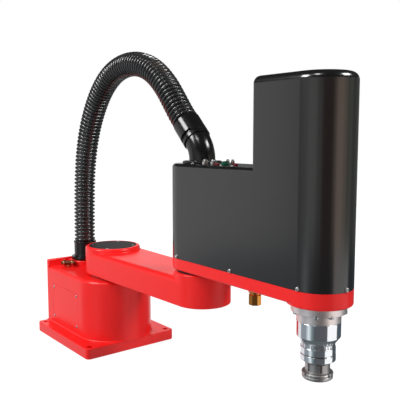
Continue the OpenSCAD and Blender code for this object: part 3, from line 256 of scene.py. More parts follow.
def carved(body, cutters=(), added=()):
    """The bmesh body with others added to it and cut from it by exact booleans."""
    obj = scratch_object(body)
    others = []
    for parts, operation in ((added, "UNION"), (cutters, "DIFFERENCE")):
        for part in parts:
            tool = scratch_object(part, "tool")
            tool.hide_render = True
            step = obj.modifiers.new(operation, "BOOLEAN")
            step.operation = operation
            step.solver = "EXACT"
            step.object = tool
            others.append(tool)
    mesh = evaluated_mesh(obj)
    for tool in others:
        bpy.data.objects.remove(tool)
    bm = bmesh.new()
    bm.from_mesh(mesh)
    bpy.data.meshes.remove(mesh)
    bmesh.ops.remove_doubles(bm, verts=bm.verts, dist=0.002 * MM)
    return bm


def boxed(x0, x1, y0, y1, z0, z1, corner=0.0):
    return stack([lifted(round_box(x0, x1, y0, y1, corner, 4 if corner else 1)(0), z) for z in (z0, z1)])


def post(x, y, z0, z1, radius, segments=32):
    return stack([lifted(round_outline(x, y, radius, segments)(0), z) for z in (z0, z1)])


def finish_piece(name, mesh, material, body, replaced=(), sharp=35.0, weighted=True):
    """Makes the mesh a finished piece that rides on a body and stands for CAD nodes."""
    mesh.name = name
    mesh.materials.clear()
    mesh.materials.append(material)
    mesh.shade_smooth()
    mesh.set_sharp_from_angle(angle=math.radians(sharp))
    obj = bpy.data.objects.new(name, mesh)
    bpy.context.scene.collection.objects.link(obj)
    if weighted:
        normals = obj.modifiers.new("normals", "WEIGHTED_NORMAL")
        normals.keep_sharp = True
        normals.weight = 100
        mesh = evaluated_mesh(obj)
        mesh.name = name
        obj = bpy.data.objects.new(name, mesh)
        bpy.context.scene.collection.objects.link(obj)
    if body:
        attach(obj, body)
    if replaced:
        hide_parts(*replaced)
    return obj


def piece(name, bm, material, body, replaced=(), sharp=35.0, weighted=True):
    mesh = bpy.data.meshes.new(name)
    bm.to_mesh(mesh)
    bm.free()
    return finish_piece(name, mesh, material, body, replaced, sharp, weighted)


# Geometry Nodes

class Tree:
    """Builds one geometry node tree with named inputs."""

    def __init__(self, name, inputs):
        self.group = bpy.data.node_groups.new(name, "GeometryNodeTree")
        face = self.group.interface
        face.new_socket("Geometry", in_out="INPUT", socket_type="NodeSocketGeometry")
        self.sockets = {}
        for label, kind, default in inputs:
            socket = face.new_socket(label, in_out="INPUT", socket_type=kind)
            if default is not None:
                socket.default_value = default
            self.sockets[label] = socket.identifier
        face.new_socket("Geometry", in_out="OUTPUT", socket_type="NodeSocketGeometry")
        self.entry = self.group.nodes.new("NodeGroupInput")
        self.exit = self.group.nodes.new("NodeGroupOutput")

    def node(self, kind, settings=None, **links):
        made = self.group.nodes.new(kind)
        for key, value in (settings or {}).items():
            setattr(made, key, value)
        for key, value in links.items():
            self.plug(made.inputs[key.replace("_", " ")], value)
        return made

    def plug(self, socket, value):
        if isinstance(value, bpy.types.NodeSocket):
            self.group.links.new(value, socket)
        else:
            socket.default_value = value

    def math(self, operation, a, b=0.0, c=0.0):
        made = self.node("ShaderNodeMath", {"operation": operation})
        for socket, value in zip(made.inputs, (a, b, c)):
            self.plug(socket, value)
        return made.outputs[0]

    def close(self, geometry):
        """Ends the tree in Realize Instances and Set Material."""
        real = self.node("GeometryNodeRealizeInstances", Geometry=geometry)
        paint = self.node("GeometryNodeSetMaterial", Geometry=real.outputs[0],
                          Material=self.entry.outputs["Material"])
        self.plug(self.exit.inputs[0], paint.outputs[0])
        return self

    def run(self, obj, values):
        """The mesh that the tree makes from obj; obj is removed."""
        step = obj.modifiers.new(self.group.name, "NODES")
        step.node_group = self.group
        for label, value in values.items():
            step[self.sockets[label]] = value
        return evaluated_mesh(obj)


def tree_for(name, build):
    """The named tree's builder is run once and its result kept."""
    if name not in TREES:
        TREES[name] = build(name)
    return TREES[name]


TREES = {}


def build_fastener_tree(name):
    """A head on each point, its axis along the point's facing and its recess turned by a seeded angle."""
    tree = Tree(name, [
        ("Head", "NodeSocketObject", None), ("Head diameter", "NodeSocketFloat", 6 * MM),
        ("Head height", "NodeSocketFloat", 2 * MM), ("Turn seed", "NodeSocketInt", 1),
        ("Material", "NodeSocketMaterial", None),
    ])
    data = tree.entry.outputs
    facing = tree.node("GeometryNodeInputNamedAttribute", {"data_type": "FLOAT_VECTOR"}, Name="facing")
    aimed = tree.node("FunctionNodeAlignRotationToVector", {"axis": "Z"}, Vector=facing.outputs["Attribute"])
    turn = tree.node("FunctionNodeRandomValue", {"data_type": "FLOAT"}, Seed=data["Turn seed"])
    turn.inputs[3].default_value = 2 * math.pi
    spin = tree.node("FunctionNodeAxisAngleToRotation", Angle=turn.outputs[1])
    spin.inputs["Axis"].default_value = (0, 0, 1)
    rotation = tree.node("FunctionNodeRotateRotation", {"rotation_space": "LOCAL"},
                         Rotation=aimed.outputs[0], Rotate_By=spin.outputs[0])
    size = tree.node("ShaderNodeCombineXYZ", X=data["Head diameter"], Y=data["Head diameter"],
                     Z=data["Head height"])
    head = tree.node("GeometryNodeObjectInfo", {"transform_space": "ORIGINAL"}, Object=data["Head"])
    placed = tree.node("GeometryNodeInstanceOnPoints", Points=data["Geometry"],
                       Instance=head.outputs["Geometry"], Rotation=rotation.outputs[0], Scale=size.outputs[0])
    return tree.close(placed.outputs[0])


def build_rib_tree(name):
    """A tube along a curve whose radius swells to a crest at every pitch."""
    tree = Tree(name, [
        ("Pitch", "NodeSocketFloat", 9 * MM), ("Root radius", "NodeSocketFloat", 21 * MM),
        ("Crest radius", "NodeSocketFloat", 25 * MM), ("Rings per pitch", "NodeSocketInt", 8),
        ("Around", "NodeSocketInt", 56), ("Rib share", "NodeSocketFloat", 0.6),
        ("Material", "NodeSocketMaterial", None),
    ])
    data = tree.entry.outputs
    step = tree.math("DIVIDE", data["Pitch"], data["Rings per pitch"])
    length = tree.node("GeometryNodeCurveLength", Curve=data["Geometry"])
    rings = tree.math("ROUND", tree.math("DIVIDE", length.outputs[0], step))
    line = tree.node("GeometryNodeResampleCurve", {"mode": "COUNT"}, Curve=data["Geometry"], Count=rings)
    way = tree.node("GeometryNodeSplineParameter")
    phase = tree.math("FRACT", tree.math("DIVIDE", way.outputs["Length"], data["Pitch"]))
    off = tree.math("SUBTRACT", tree.math("MULTIPLY", phase, 2.0), 1.0)
    reach = tree.math("DIVIDE", off, data["Rib share"])
    rest = tree.math("SUBTRACT", 1.0, tree.math("MULTIPLY", reach, reach))
    swell = tree.math("SQRT", tree.math("MAXIMUM", 0.0, rest))
    height = tree.math("SUBTRACT", data["Crest radius"], data["Root radius"])
    radius = tree.math("MULTIPLY_ADD", swell, height, data["Root radius"])
    shaped = tree.node("GeometryNodeSetCurveRadius", Curve=line.outputs[0], Radius=radius)
    ring = tree.node("GeometryNodeCurvePrimitiveCircle", {"mode": "RADIUS"}, Resolution=data["Around"],
                     Radius=1.0)
    tube = tree.node("GeometryNodeCurveToMesh", Curve=shaped.outputs[0], Profile_Curve=ring.outputs[0],
                     Fill_Caps=True)
    for socket in tube.inputs:
        if socket.name == "Scale":
            tree.plug(socket, radius)
    return tree.close(tube.outputs[0])


def head_shape(kind):
    """A unit fastener head: diameter 1, height 1, its seat at z = 0, with its recess."""
    count = 24
    circle = [(math.cos(2 * math.pi * i / count), math.sin(2 * math.pi * i / count)) for i in range(count)]

    def at(r, z):
        return [Vector((x * r, y * r, z)) for x, y in circle]

    def star(r, waist, points, z):
        spots = []
        for x, y in circle:
            a = math.atan2(y, x)
            spots.append(Vector((x, y, 0)) * (r * (waist + (1 - waist) * abs(math.cos(a * points / 2)) ** 3)))
        return [p + Vector((0, 0, z)) for p in spots]

    def hexagon(r, z):
        spots = []
        for x, y in circle:
            a = (math.degrees(math.atan2(y, x)) + 360) % 60 - 30
            spots.append(Vector((x, y, 0)) * r / math.cos(math.radians(a)) + Vector((0, 0, z)))
        return spots

    if kind == "socket":
        loops = [at(0.48, 0), at(0.5, 0.03), at(0.5, 0.88), at(0.47, 0.97), at(0.44, 1.0), at(0.31, 1.0),
                 hexagon(0.25, 0.95), hexagon(0.25, 0.45), hexagon(0.05, 0.4)]
    elif kind == "pan":
        loops = [at(0.5, 0), at(0.5, 0.35), at(0.46, 0.7), at(0.36, 0.92), at(0.3, 0.97),
                 star(0.27, 0.35, 4, 0.97), star(0.22, 0.35, 4, 0.35), star(0.04, 0.8, 4, 0.3)]
    else:
        loops = [at(0.5, 0), at(0.5, 0.75), at(0.47, 1.0), at(0.32, 1.0), star(0.27, 0.35, 4, 0.98),
                 star(0.22, 0.35, 4, 0.3), star(0.04, 0.8, 4, 0.25)]
    return scratch_object(stack(loops), "head")


def fasteners(name, kind, places, diameter, height, material, body, slot, replaced=(), seed=1):
    """Heads of one kind at places, each a point and the way that the head faces."""
    mesh = bpy.data.meshes.new("places")
    mesh.from_pydata([p for p, _ in places], [], [])
    facing = mesh.attributes.new("facing", "FLOAT_VECTOR", "POINT")
    facing.data.foreach_set("vector", [c for _, way in places for c in way])
    points = bpy.data.objects.new("places", mesh)
    bpy.context.scene.collection.objects.link(points)
    head = head_shape(kind)
    made = tree_for("fasteners", build_fastener_tree).run(points, {
        "Head": head, "Head diameter": diameter, "Head height": height, "Turn seed": seed,
        "Material": material,
    })
    bpy.data.objects.remove(head)
    if "facing" in made.attributes:
        made.attributes.remove(made.attributes["facing"])
    return finish_piece(name, made, material, body, replaced, sharp=40, weighted=False)


# Shader node groups that more than one finish uses

def shader_group(name, inputs, outputs):
    group = bpy.data.node_groups.new(name, "ShaderNodeTree")
    for label, kind, default in inputs:
        socket = group.interface.new_socket(label, in_out="INPUT", socket_type=kind)
        socket.default_value = default
    for label, kind in outputs:
        group.interface.new_socket(label, in_out="OUTPUT", socket_type=kind)
    return group, group.nodes.new("NodeGroupInput"), group.nodes.new("NodeGroupOutput")


def link(group, source, target):
    group.links.new(source, target)


def build_tone_group():
    """A colour that drifts a little over the surface."""
    group, entry, leave = shader_group("tone", [
        ("Color", "NodeSocketColor", (0.5, 0.5, 0.5, 1)), ("Amount", "NodeSocketFloat", 0.06),
        ("Scale", "NodeSocketFloat", 14.0),
    ], [("Color", "NodeSocketColor")])
    nodes = group.nodes
    where = nodes.new("ShaderNodeTexCoord")
    noise = nodes.new("ShaderNodeTexNoise")
    noise.inputs["Detail"].default_value = 3
    span = nodes.new("ShaderNodeMath")
    span.operation = "MULTIPLY_ADD"
    shift = nodes.new("ShaderNodeMath")
    shift.operation = "SUBTRACT"
    shift.inputs[1].default_value = 0.5
    tint = nodes.new("ShaderNodeHueSaturation")
    link(group, where.outputs["Object"], noise.inputs["Vector"])
    link(group, entry.outputs["Scale"], noise.inputs["Scale"])
    link(group, noise.outputs["Fac"], shift.inputs[0])
    link(group, shift.outputs[0], span.inputs[0])
    link(group, entry.outputs["Amount"], span.inputs[1])
    span.inputs[2].default_value = 1.0
    link(group, span.outputs[0], tint.inputs["Value"])
    link(group, entry.outputs["Color"], tint.inputs["Color"])
    link(group, tint.outputs[0], leave.inputs["Color"])
    return group


def build_peel_group():
    """The fine waviness of sprayed paint or moulded plastic, as a roughness and a normal."""
    group, entry, leave = shader_group("peel", [
        ("Roughness", "NodeSocketFloat", 0.4), ("Spread", "NodeSocketFloat", 0.06),
        ("Scale", "NodeSocketFloat", 450.0), ("Depth", "NodeSocketFloat", 0.08),
    ], [("Roughness", "NodeSocketFloat"), ("Normal", "NodeSocketVector")])
    nodes = group.nodes
    where = nodes.new("ShaderNodeTexCoord")
    fine = nodes.new("ShaderNodeTexNoise")
    fine.inputs["Detail"].default_value = 2
    broad = nodes.new("ShaderNodeTexNoise")
    broad.inputs["Scale"].default_value = 22
    bump = nodes.new("ShaderNodeBump")
    bump.inputs["Distance"].default_value = 0.0004
    shift = nodes.new("ShaderNodeMath")
    shift.operation = "SUBTRACT"
    shift.inputs[1].default_value = 0.5
    span = nodes.new("ShaderNodeMath")
    span.operation = "MULTIPLY_ADD"
    for noise in (fine, broad):
        link(group, where.outputs["Object"], noise.inputs["Vector"])
    link(group, entry.outputs["Scale"], fine.inputs["Scale"])
    link(group, fine.outputs["Fac"], bump.inputs["Height"])
    link(group, entry.outputs["Depth"], bump.inputs["Strength"])
    link(group, broad.outputs["Fac"], shift.inputs[0])
    link(group, shift.outputs[0], span.inputs[0])
    link(group, entry.outputs["Spread"], span.inputs[1])
    link(group, entry.outputs["Roughness"], span.inputs[2])
    link(group, span.outputs[0], leave.inputs["Roughness"])
    link(group, bump.outputs[0], leave.inputs["Normal"])
    return group


def build_turned_group():
    """Fine tool marks that run round the upright axis: stretched noise over height."""
    group, entry, leave = shader_group("turned", [
        ("Roughness", "NodeSocketFloat", 0.3), ("Spread", "NodeSocketFloat", 0.12),
        ("Marks", "NodeSocketFloat", 1400.0), ("Depth", "NodeSocketFloat", 0.1),
    ], [("Roughness", "NodeSocketFloat"), ("Normal", "NodeSocketVector")])
    nodes = group.nodes
    where = nodes.new("ShaderNodeTexCoord")
    stretch = nodes.new("ShaderNodeMapping")
    stretch.inputs["Scale"].default_value = (0.02, 0.02, 1.0)
    noise = nodes.new("ShaderNodeTexNoise")
    noise.inputs["Detail"].default_value = 2
    bump = nodes.new("ShaderNodeBump")
    bump.inputs["Distance"].default_value = 0.0002
    shift = nodes.new("ShaderNodeMath")
    shift.operation = "SUBTRACT"
    shift.inputs[1].default_value = 0.5
    span = nodes.new("ShaderNodeMath")
    span.operation = "MULTIPLY_ADD"
    link(group, where.outputs["Object"], stretch.inputs["Vector"])
    link(group, stretch.outputs[0], noise.inputs["Vector"])
    link(group, entry.outputs["Marks"], noise.inputs["Scale"])
    link(group, noise.outputs["Fac"], bump.inputs["Height"])
    link(group, entry.outputs["Depth"], bump.inputs["Strength"])
    link(group, noise.outputs["Fac"], shift.inputs[0])
    link(group, shift.outputs[0], span.inputs[0])
    link(group, entry.outputs["Spread"], span.inputs[1])
    link(group, entry.outputs["Roughness"], span.inputs[2])
    link(group, span.outputs[0], leave.inputs["Roughness"])
    link(group, bump.outputs[0], leave.inputs["Normal"])
    return group


GROUPS = {}


def shader_effect(name, build):
    if name not in GROUPS:
        GROUPS[name] = build()
    return GROUPS[name]


def new_material(name):
    material = bpy.data.materials.new(name)
    material.use_nodes = True
    return material, material.node_tree, material.node_tree.nodes["Principled BSDF"]


def effect_node(tree, group, **values):
    node = tree.nodes.new("ShaderNodeGroup")
    node.node_tree = group
    for key, value in values.items():
        node.inputs[key.capitalize()].default_value = value
    return node


def surface_finish(name, colour, roughness, spread=0.06, scale=450.0, depth=0.08, tone=0.05, metallic=0.0,
                   specular=0.5, coat=0.0, coat_roughness=0.1, turned=False):
    """One finish: a drifting colour, and a roughness and normal from sprayed, moulded or turned texture."""
    material, tree, shader = new_material(name)
    drift = effect_node(tree, shader_effect("tone", build_tone_group), amount=tone)
    drift.inputs["Color"].default_value = (*colour, 1)
    if turned:
        texture = effect_node(tree, shader_effect("turned", build_turned_group), roughness=roughness,
                              spread=spread,
                              marks=scale, depth=depth)
    else:
        texture = effect_node(tree, shader_effect("peel", build_peel_group), roughness=roughness,
                              spread=spread,
                              scale=scale, depth=depth)
    tree.links.new(drift.outputs["Color"], shader.inputs["Base Color"])
    tree.links.new(texture.outputs["Roughness"], shader.inputs["Roughness"])
    tree.links.new(texture.outputs["Normal"], shader.inputs["Normal"])
    shader.inputs["Metallic"].default_value = metallic
    shader.inputs["Specular IOR Level"].default_value = specular
    shader.inputs["Coat Weight"].default_value = coat
    shader.inputs["Coat Roughness"].default_value = coat_roughness
    return material


FINISHES = {
    "cap_grey": dict(colour=(0.024, 0.02, 0.0205), roughness=0.55, scale=900, depth=0.12, specular=0.12),
    # satin_steel's colour is kept darker than the other steels: painted shade for the second output flange,
    # which sits in the shaded gap under the second arm
    "satin_steel": dict(colour=(0.4, 0.37, 0.36), roughness=0.36, metallic=1.0, turned=True, scale=1500),
    "chrome": dict(colour=(0.92, 0.94, 0.96), roughness=0.12, spread=0.03, metallic=1.0, tone=0.02,
                   turned=True,
                   scale=2200, depth=0.02),
    "pale_steel": dict(colour=(0.95, 0.88, 0.87), roughness=0.42, metallic=1.0, turned=True, scale=1500),
    "grey_steel": dict(colour=(0.47, 0.46, 0.455), roughness=0.42, metallic=1.0, turned=True, scale=1500),
    "black_plastic": dict(colour=(0.006, 0.006, 0.0065), roughness=0.2, spread=0.06, scale=300, depth=0.03),
    "conduit_black": dict(colour=(0.024, 0.025, 0.026), roughness=0.2, spread=0.08, scale=500, depth=0.05,
                          specular=1.0),
    "screw_zinc": dict(colour=(0.62, 0.63, 0.64), roughness=0.28, metallic=1.0, scale=2500, depth=0.05),
    "bolt_black": dict(colour=(0.05, 0.05, 0.055), roughness=0.45, metallic=1.0, scale=2500),
    "brass": dict(colour=(0.66, 0.38, 0.18), roughness=0.26, metallic=1.0, scale=1800),
    # A much darker copy of the brass, for the barrel of the fitting on the tower's roof: its darkness is
    # painted dark reflection on real brass
    "brass_painted_dark_reflection": dict(colour=(0.16, 0.06, 0.035), roughness=0.34, metallic=1.0, scale=900, tone=0.2),
    "orange_brass": dict(colour=(0.72, 0.3, 0.06), roughness=0.22, metallic=1.0, scale=1800),
    "motor_black": dict(colour=(0.03, 0.03, 0.032), roughness=0.5, scale=1200, depth=0.2),
    "bearing_steel": dict(colour=(0.6, 0.61, 0.63), roughness=0.2, metallic=1.0, turned=True, scale=2500),
    "belt_rubber": dict(colour=(0.015, 0.015, 0.015), roughness=0.7, scale=1500, depth=0.3),
    "panel_black": dict(colour=(0.02, 0.02, 0.022), roughness=0.38, scale=1100, depth=0.12),
    "connector_nickel": dict(colour=(0.6, 0.6, 0.6), roughness=0.2, metallic=1.0, scale=1800, depth=0.05),
    "zinc_plate": dict(colour=(0.45, 0.46, 0.48), roughness=0.4, metallic=1.0, scale=160, tone=0.15),
    "green_plastic": dict(colour=(0.008, 0.1, 0.055), roughness=0.22, scale=700),
    "red_plastic": dict(colour=(0.2, 0.005, 0.012), roughness=0.25, scale=700),
}
MATERIALS = {}


def finish_of(slot):
    """The material of a record's slot, made when it is first asked for."""
    if slot not in MATERIALS:
        paint = bpy.context.scene.robot_paint
        if slot == "red_paint":
            MATERIALS[slot] = surface_finish("red_paint", tuple(paint.casting_red), paint.casting_roughness,
                                             spread=0.05, scale=650, depth=0.06, tone=0.05,
                                             specular=0.4)
        elif slot == "cover_black":
            MATERIALS[slot] = surface_finish("cover_black", tuple(paint.cover_black), paint.cover_roughness,
                                             spread=0.04, scale=520, depth=0.03, tone=0.04, specular=1.0)
        else:
            MATERIALS[slot] = surface_finish(slot, **FINISHES[slot])
    return MATERIALS[slot]


# Sizes and colours that a user would change

class RobotPaint(bpy.types.PropertyGroup):
    """Colours of the castings and the cover."""

    casting_red: bpy.props.FloatVectorProperty(
        name="Casting red", description="Paint on the castings", subtype="COLOR", size=3,
        default=(0.93, 0.012, 0.012), min=0, max=1)
    casting_roughness: bpy.props.FloatProperty(
        name="Casting roughness", description="How satin the casting paint is", default=0.32, min=0, max=1)
    cover_black: bpy.props.FloatVectorProperty(
        name="Cover black", description="Colour of the moulded cover", subtype="COLOR", size=3,
        default=(0.006, 0.006, 0.0063), min=0, max=1)
    cover_roughness: bpy.props.FloatProperty(
        name="Cover roughness", description="How satin the cover is", default=0.2, min=0, max=1)


def length(name, description, default):
    return bpy.props.FloatProperty(name=name, description=description, default=default, min=0, unit="LENGTH")


class RobotCastings(bpy.types.PropertyGroup):
    """Sizes of the three red castings."""

    plate_height: length("Plate height", "Thickness of the base plate", 22 * MM)
    plate_front: length("Plate front", "Front edge of the base plate", 80 * MM)
    plate_corner: length("Plate corner", "Radius of the base plate's corners", 9 * MM)
    plate_edge: length("Plate edge", "Radius along the base plate's top", 1.3 * MM)
    foot_fillet: length("Foot fillet", "Radius where the tower meets the plate", 4 * MM)
    tower_height: length("Tower height", "Top of the tower's roof", 154 * MM)
    tower_edge: length("Tower edge", "Radius along the tower's top", 8 * MM)
    rear_wall: length("Rear wall", "Thickness of the tower's raised rear wall", 12 * MM)
    rear_edge: length("Rear edge", "Radius along the rear wall's and the seat's top", 2.5 * MM)
    seat_radius: length("Seat radius", "Radius of the raised seat under the conduit's gland", 34 * MM)
    arm_edge: length("Arm edge", "Radius along the first arm's top", 10 * MM)
    boss_rise: length("Boss rise", "How far the first arm's bosses stand above its middle", 9 * MM)
    boss_edge: length("Boss edge", "Radius along the first boss's rim", 5 * MM)
    cap_radius: length("Cap radius", "Radius of the cap in the first boss", 52.9 * MM)
    arm2_lower_edge: length("Second arm's lower edge", "Radius along the second casting's underside", 4 * MM)


class RobotCover(bpy.types.PropertyGroup):
    """Sizes of the black cover."""

    column_front: length("Column rear face", "From the first axis to the column's flat face", 505 * MM)
    low_top: length("Low top", "Height of the cover's low part", 415 * MM)
    low_edge: length("Low edge", "Radius along the low part's top", 7 * MM)
    column_edge: length("Column edge", "Radius along the column's top", 12 * MM)
    column_corner: length("Column corner", "Radius of the column's two upright corners", 7 * MM)


class RobotConduit(bpy.types.PropertyGroup):
    """Sizes of the ribbed conduit."""

    pitch: length("Pitch", "Distance from one rib to the next", 9 * MM)
    crest: length("Crest radius", "Outer radius of the ribs", 25 * MM)
    root: length("Root radius", "Radius between the ribs", 20.4 * MM)
    rib_share: bpy.props.FloatProperty(name="Rib share", description="Share of the pitch that a rib takes up",
                                       default=0.66, min=0.2, max=1)


def power(name, description, default):
    return bpy.props.FloatProperty(name=name, description=description, default=default, min=0)


class RobotStage(bpy.types.PropertyGroup):
    """Camera, floor and lights."""

    camera_place: bpy.props.FloatVectorProperty(
        name="Camera place", description="Where the camera stands", subtype="TRANSLATION", unit="LENGTH",
        size=3, default=(1.1584, -0.6611, 0.4603))
    camera_heading: bpy.props.FloatProperty(
        name="Camera heading", description="Way the camera looks, counted from +X", subtype="ANGLE",
        default=math.radians(141.80))
    camera_dip: bpy.props.FloatProperty(
        name="Camera dip", description="How far the camera looks down", subtype="ANGLE",
        default=math.radians(6.01))
    lens: bpy.props.FloatProperty(name="Lens", description="Focal length in millimetres", default=53.29,
                                  min=1)
    left_power: power("Left power", "Power of the left softbox in watts", 46.0)
    front_power: power("Front power", "Power of the front softbox in watts", 9.0)
    right_power: power("Right power", "Power of the right softbox in watts", 30.0)
    rear_power: power("Rear power", "Power of the rear softbox in watts", 20.0)
    sky: bpy.props.FloatProperty(name="Sky", description="Strength of the soft light from all round",
                                 default=0.25, min=0)
    screen_distance: bpy.props.FloatProperty(
        name="Screen distance", description="From the tool to the screens that reflections show",
        default=3.0, min=0.5, unit="LENGTH")


# The first axis: base casting

class ROBOT_OT_base_body(bpy.types.Operator):
    """Makes the base casting: plate, tower, rear wall and the raised seat for the conduit"""

    bl_idname = "robot.base_body"
    bl_label = "Base casting"

    def execute(self, context):
        sizes = context.scene.robot_castings
        half = BASE_HIGH.y
        rear = BASE_LOW.x
        tower_r = BASE_HIGH.x
        plan = round_box(rear, sizes.plate_front, -half, half, sizes.plate_corner)
        plate = stack(wall_loops(plan, 0, sizes.plate_height, 1 * MM, sizes.plate_edge))
        corner = 3 * MM
        outline = round_front(rear, tower_r, corner)
        plain = outline(0)
        steps = 8
        fillet = sizes.foot_fillet
        foot = self.flared(outline, plain, fillet, sizes.plate_front)
        loops = [lifted(foot, sizes.plate_height - 2 * MM)]
        for i in range(steps + 1):
            a = math.radians(90 * i / steps)
            out = fillet * (1 - math.sin(a))
            limit = sizes.plate_front + (tower_r - sizes.plate_front) * i / steps
            loops.append(lifted(self.flared(outline, plain, out, limit),
                                sizes.plate_height + fillet * (1 - math.cos(a))))
        top = sizes.tower_height
        edge = sizes.tower_edge
        for i in range(steps + 1):
            a = math.radians(90 * i / steps)
            loops.append(lifted(outline(edge * (1 - math.cos(a))), top - edge * (1 - math.sin(a))))
        tower = stack(loops)
        wall_plan = round_box(rear, rear + sizes.rear_wall, -tower_r, tower_r, corner)
        rear_wall = stack(wall_loops(wall_plan, 100 * MM, BASE_HIGH.z, 0, sizes.rear_edge))
        seat_plan = round_front(rear + 2 * MM, sizes.seat_radius, corner, centre=GLAND_X)
        seat = stack(wall_loops(seat_plan, 120 * MM, GLAND_SEAT, 0, sizes.rear_edge))
        side_low, side_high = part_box("side_panel")
        rear_low, rear_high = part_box("rear_panel")
        gap = 0.35 * MM
        cuts = [
            boxed(side_low.x - gap, side_high.x + gap, -tower_r - 5 * MM, side_high.y + gap,
                  side_low.z - gap, side_high.z + gap),
            boxed(rear - 5 * MM, rear_high.x + gap, rear_low.y - gap, rear_high.y + gap,
                  rear_low.z - gap, rear_high.z + gap),
        ]
        cuts += [post(x, y, -1 * MM, 30 * MM, 6 * MM) for x, y in foot_places()]
        cuts.append(post(GLAND_X, 0, 140 * MM, GLAND_SEAT + 5 * MM, 17 * MM))
        body = carved(plate, cuts, [tower, rear_wall, seat])
        piece("base_body", body, finish_of("red_paint"), "base", ["base_casting"])
        return {"FINISHED"}

    def flared(self, outline, plain, out, limit):
        """The tower's outline pushed outward by out, but not past the plate's front edge."""
        grown = outline(-out)
        return [(min(gx, max(limit, px)), gy) for (gx, gy), (px, _) in zip(grown, plain)]


def foot_places():
    """Middles of the four foot holes."""
    mount = next(m for m in frame["record"]["mounts"] if m["name"] == "base_bolts")
    x, y, _ = mount["pos_m"]
    dx, dy = mount["dims"]["spacing_x_mm"] / 2 * MM, mount["dims"]["spacing_y_mm"] / 2 * MM
    return [(x + i * dx, y + j * dy) for i in (-1, 1) for j in (-1, 1)]


class ROBOT_OT_base_panels(bpy.types.Operator):
    """Makes the side panel, and the screws of the side and rear panels"""

    bl_idname = "robot.base_panels"
    bl_label = "Base panels"

    def execute(self, context):
        low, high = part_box("side_panel")
        plan = round_box(low.x, high.x, low.z, high.z, PANEL_CORNER)
        panel = stack(wall_loops(plan, 0, high.y - low.y, 0, PANEL_EDGE, 3))
        turn = Matrix.Translation((0, high.y, 0)) @ Matrix.Rotation(math.radians(90), 4, "X")
        moved(panel, turn)
        piece("side_panel_plate", panel, finish_of("red_paint"), "base", ["side_panel"])
        inset = 6 * MM
        spots = [(Vector((x, low.y, z)), (0, -1, 0)) for x in (low.x + inset, high.x - inset)
                 for z in (low.z + inset, high.z - inset)]
        fasteners("side_panel_screw_heads", "pan", spots, *PANEL_SCREW, finish_of("screw_zinc"), "base",
                  "screw_zinc", ["side_panel_screws"], seed=3)
        low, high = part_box("rear_panel")
        spots = [(Vector((low.x, y, z)), (-1, 0, 0)) for y in (low.y + inset, high.y - inset)
                 for z in (low.z + inset, high.z - inset)]
        fasteners("rear_panel_screw_heads", "pan", spots, *PANEL_SCREW, finish_of("screw_zinc"), "base",
                  "screw_zinc", ["rear_panel_screws"], seed=5)
        return {"FINISHED"}


class ROBOT_OT_gland(bpy.types.Operator):
    """Makes the gland that holds the conduit's lower end"""

    bl_idname = "robot.gland"
    bl_label = "Conduit gland"

    def execute(self, context):
        seat = GLAND_SEAT
        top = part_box("conduit_gland")[1].z
        profile = [(0, seat + 0.1 * MM), (29 * MM, seat + 0.1 * MM), (29 * MM, seat + 2 * MM),
                   (32.5 * MM, seat + 2 * MM), (32.5 * MM, seat + 9 * MM), (28 * MM, seat + 9 * MM),
                   (25.75 * MM, seat + 11 * MM), (25.75 * MM, top - 5 * MM), (27 * MM, top - 4 * MM),
                   (27 * MM, top), (22.2 * MM, top), (22.2 * MM, top - 20 * MM), (0, top - 20 * MM)]
        body = lathe(filleted(profile, 1.2 * MM), GLAND_X)
        piece("gland_body", body, finish_of("black_plastic"), "base", ["conduit_gland"])
        return {"FINISHED"}


# The first arm

class ROBOT_OT_first_arm(bpy.types.Operator):
    """Makes the first arm's casting with its two bosses"""

    bl_idname = "robot.first_arm"
    bl_label = "First arm"

    def execute(self, context):
        sizes = context.scene.robot_castings
        r0 = ARM1_HIGH.y
        r1 = ARM1_HIGH.x - ARM2_X
        low = ARM1_LOW.z
        top = ARM1_HIGH.z
        web_top = top - sizes.boss_rise
        sink = 0.05 * MM
        outline = arm_outline(0, r0, ARM2_X, r1)
        body = stack(wall_loops(outline, low, web_top, 1.5 * MM, sizes.arm_edge, 8))
        foot = web_top - sizes.arm_edge - 2 * MM
        cap_r = sizes.cap_radius + 0.3 * MM
        edge = sizes.boss_edge
        rim = [(0, foot), (r0 - sink, foot)]
        rim += [(r0 - sink - edge * (1 - math.cos(math.radians(a))),
                 top - edge * (1 - math.sin(math.radians(a))))
                for a in range(0, 91, 10)]
        rim += [(cap_r, top), (cap_r, top - 4 * MM), (0, top - 4 * MM)]
        first = lathe(rim, 0, 0, 128)
        second = lathe(filleted([(0, foot), (r1 - sink, foot), (r1 - sink, top), (0, top)], 2.5 * MM),
                       ARM2_X, 0, 112)
        collar = self.boss_collar(r0, web_top, outline, sizes.arm_edge)
        whole = carved(body, [], [first, second, collar])
        piece("first_arm", whole, finish_of("red_paint"), "arm1", ["arm1_casting"])
        return {"FINISHED"}

    def boss_collar(self, r0, web_top, outline, edge):
        """The small fillet where the first boss rises from the arm, kept inside the arm's flat top."""
        fillet = 3 * MM
        ring = [(r0 - 2 * MM, web_top - 1 * MM), (r0 + fillet, web_top - 1 * MM)]
        ring += [(r0 + fillet * (1 - math.sin(math.radians(a))),
                  web_top + fillet * (1 - math.cos(math.radians(a))))
                 for a in range(0, 91, 15)]
        ring.append((r0 - 2 * MM, web_top + fillet))
        plan = stack([lifted(outline(edge), web_top - 2 * MM), lifted(outline(edge), web_top + 2 * fillet)])
        obj = scratch_object(lathe(ring, 0, 0, 128, closed=True))
        tool = scratch_object(plan, "tool")
        step = obj.modifiers.new("inside", "BOOLEAN")
        step.operation = "INTERSECT"
        step.solver = "EXACT"
        step.object = tool
        mesh = evaluated_mesh(obj)
        bpy.data.objects.remove(tool)
        bm = bmesh.new()
        bm.from_mesh(mesh)
        bpy.data.meshes.remove(mesh)
        return bm


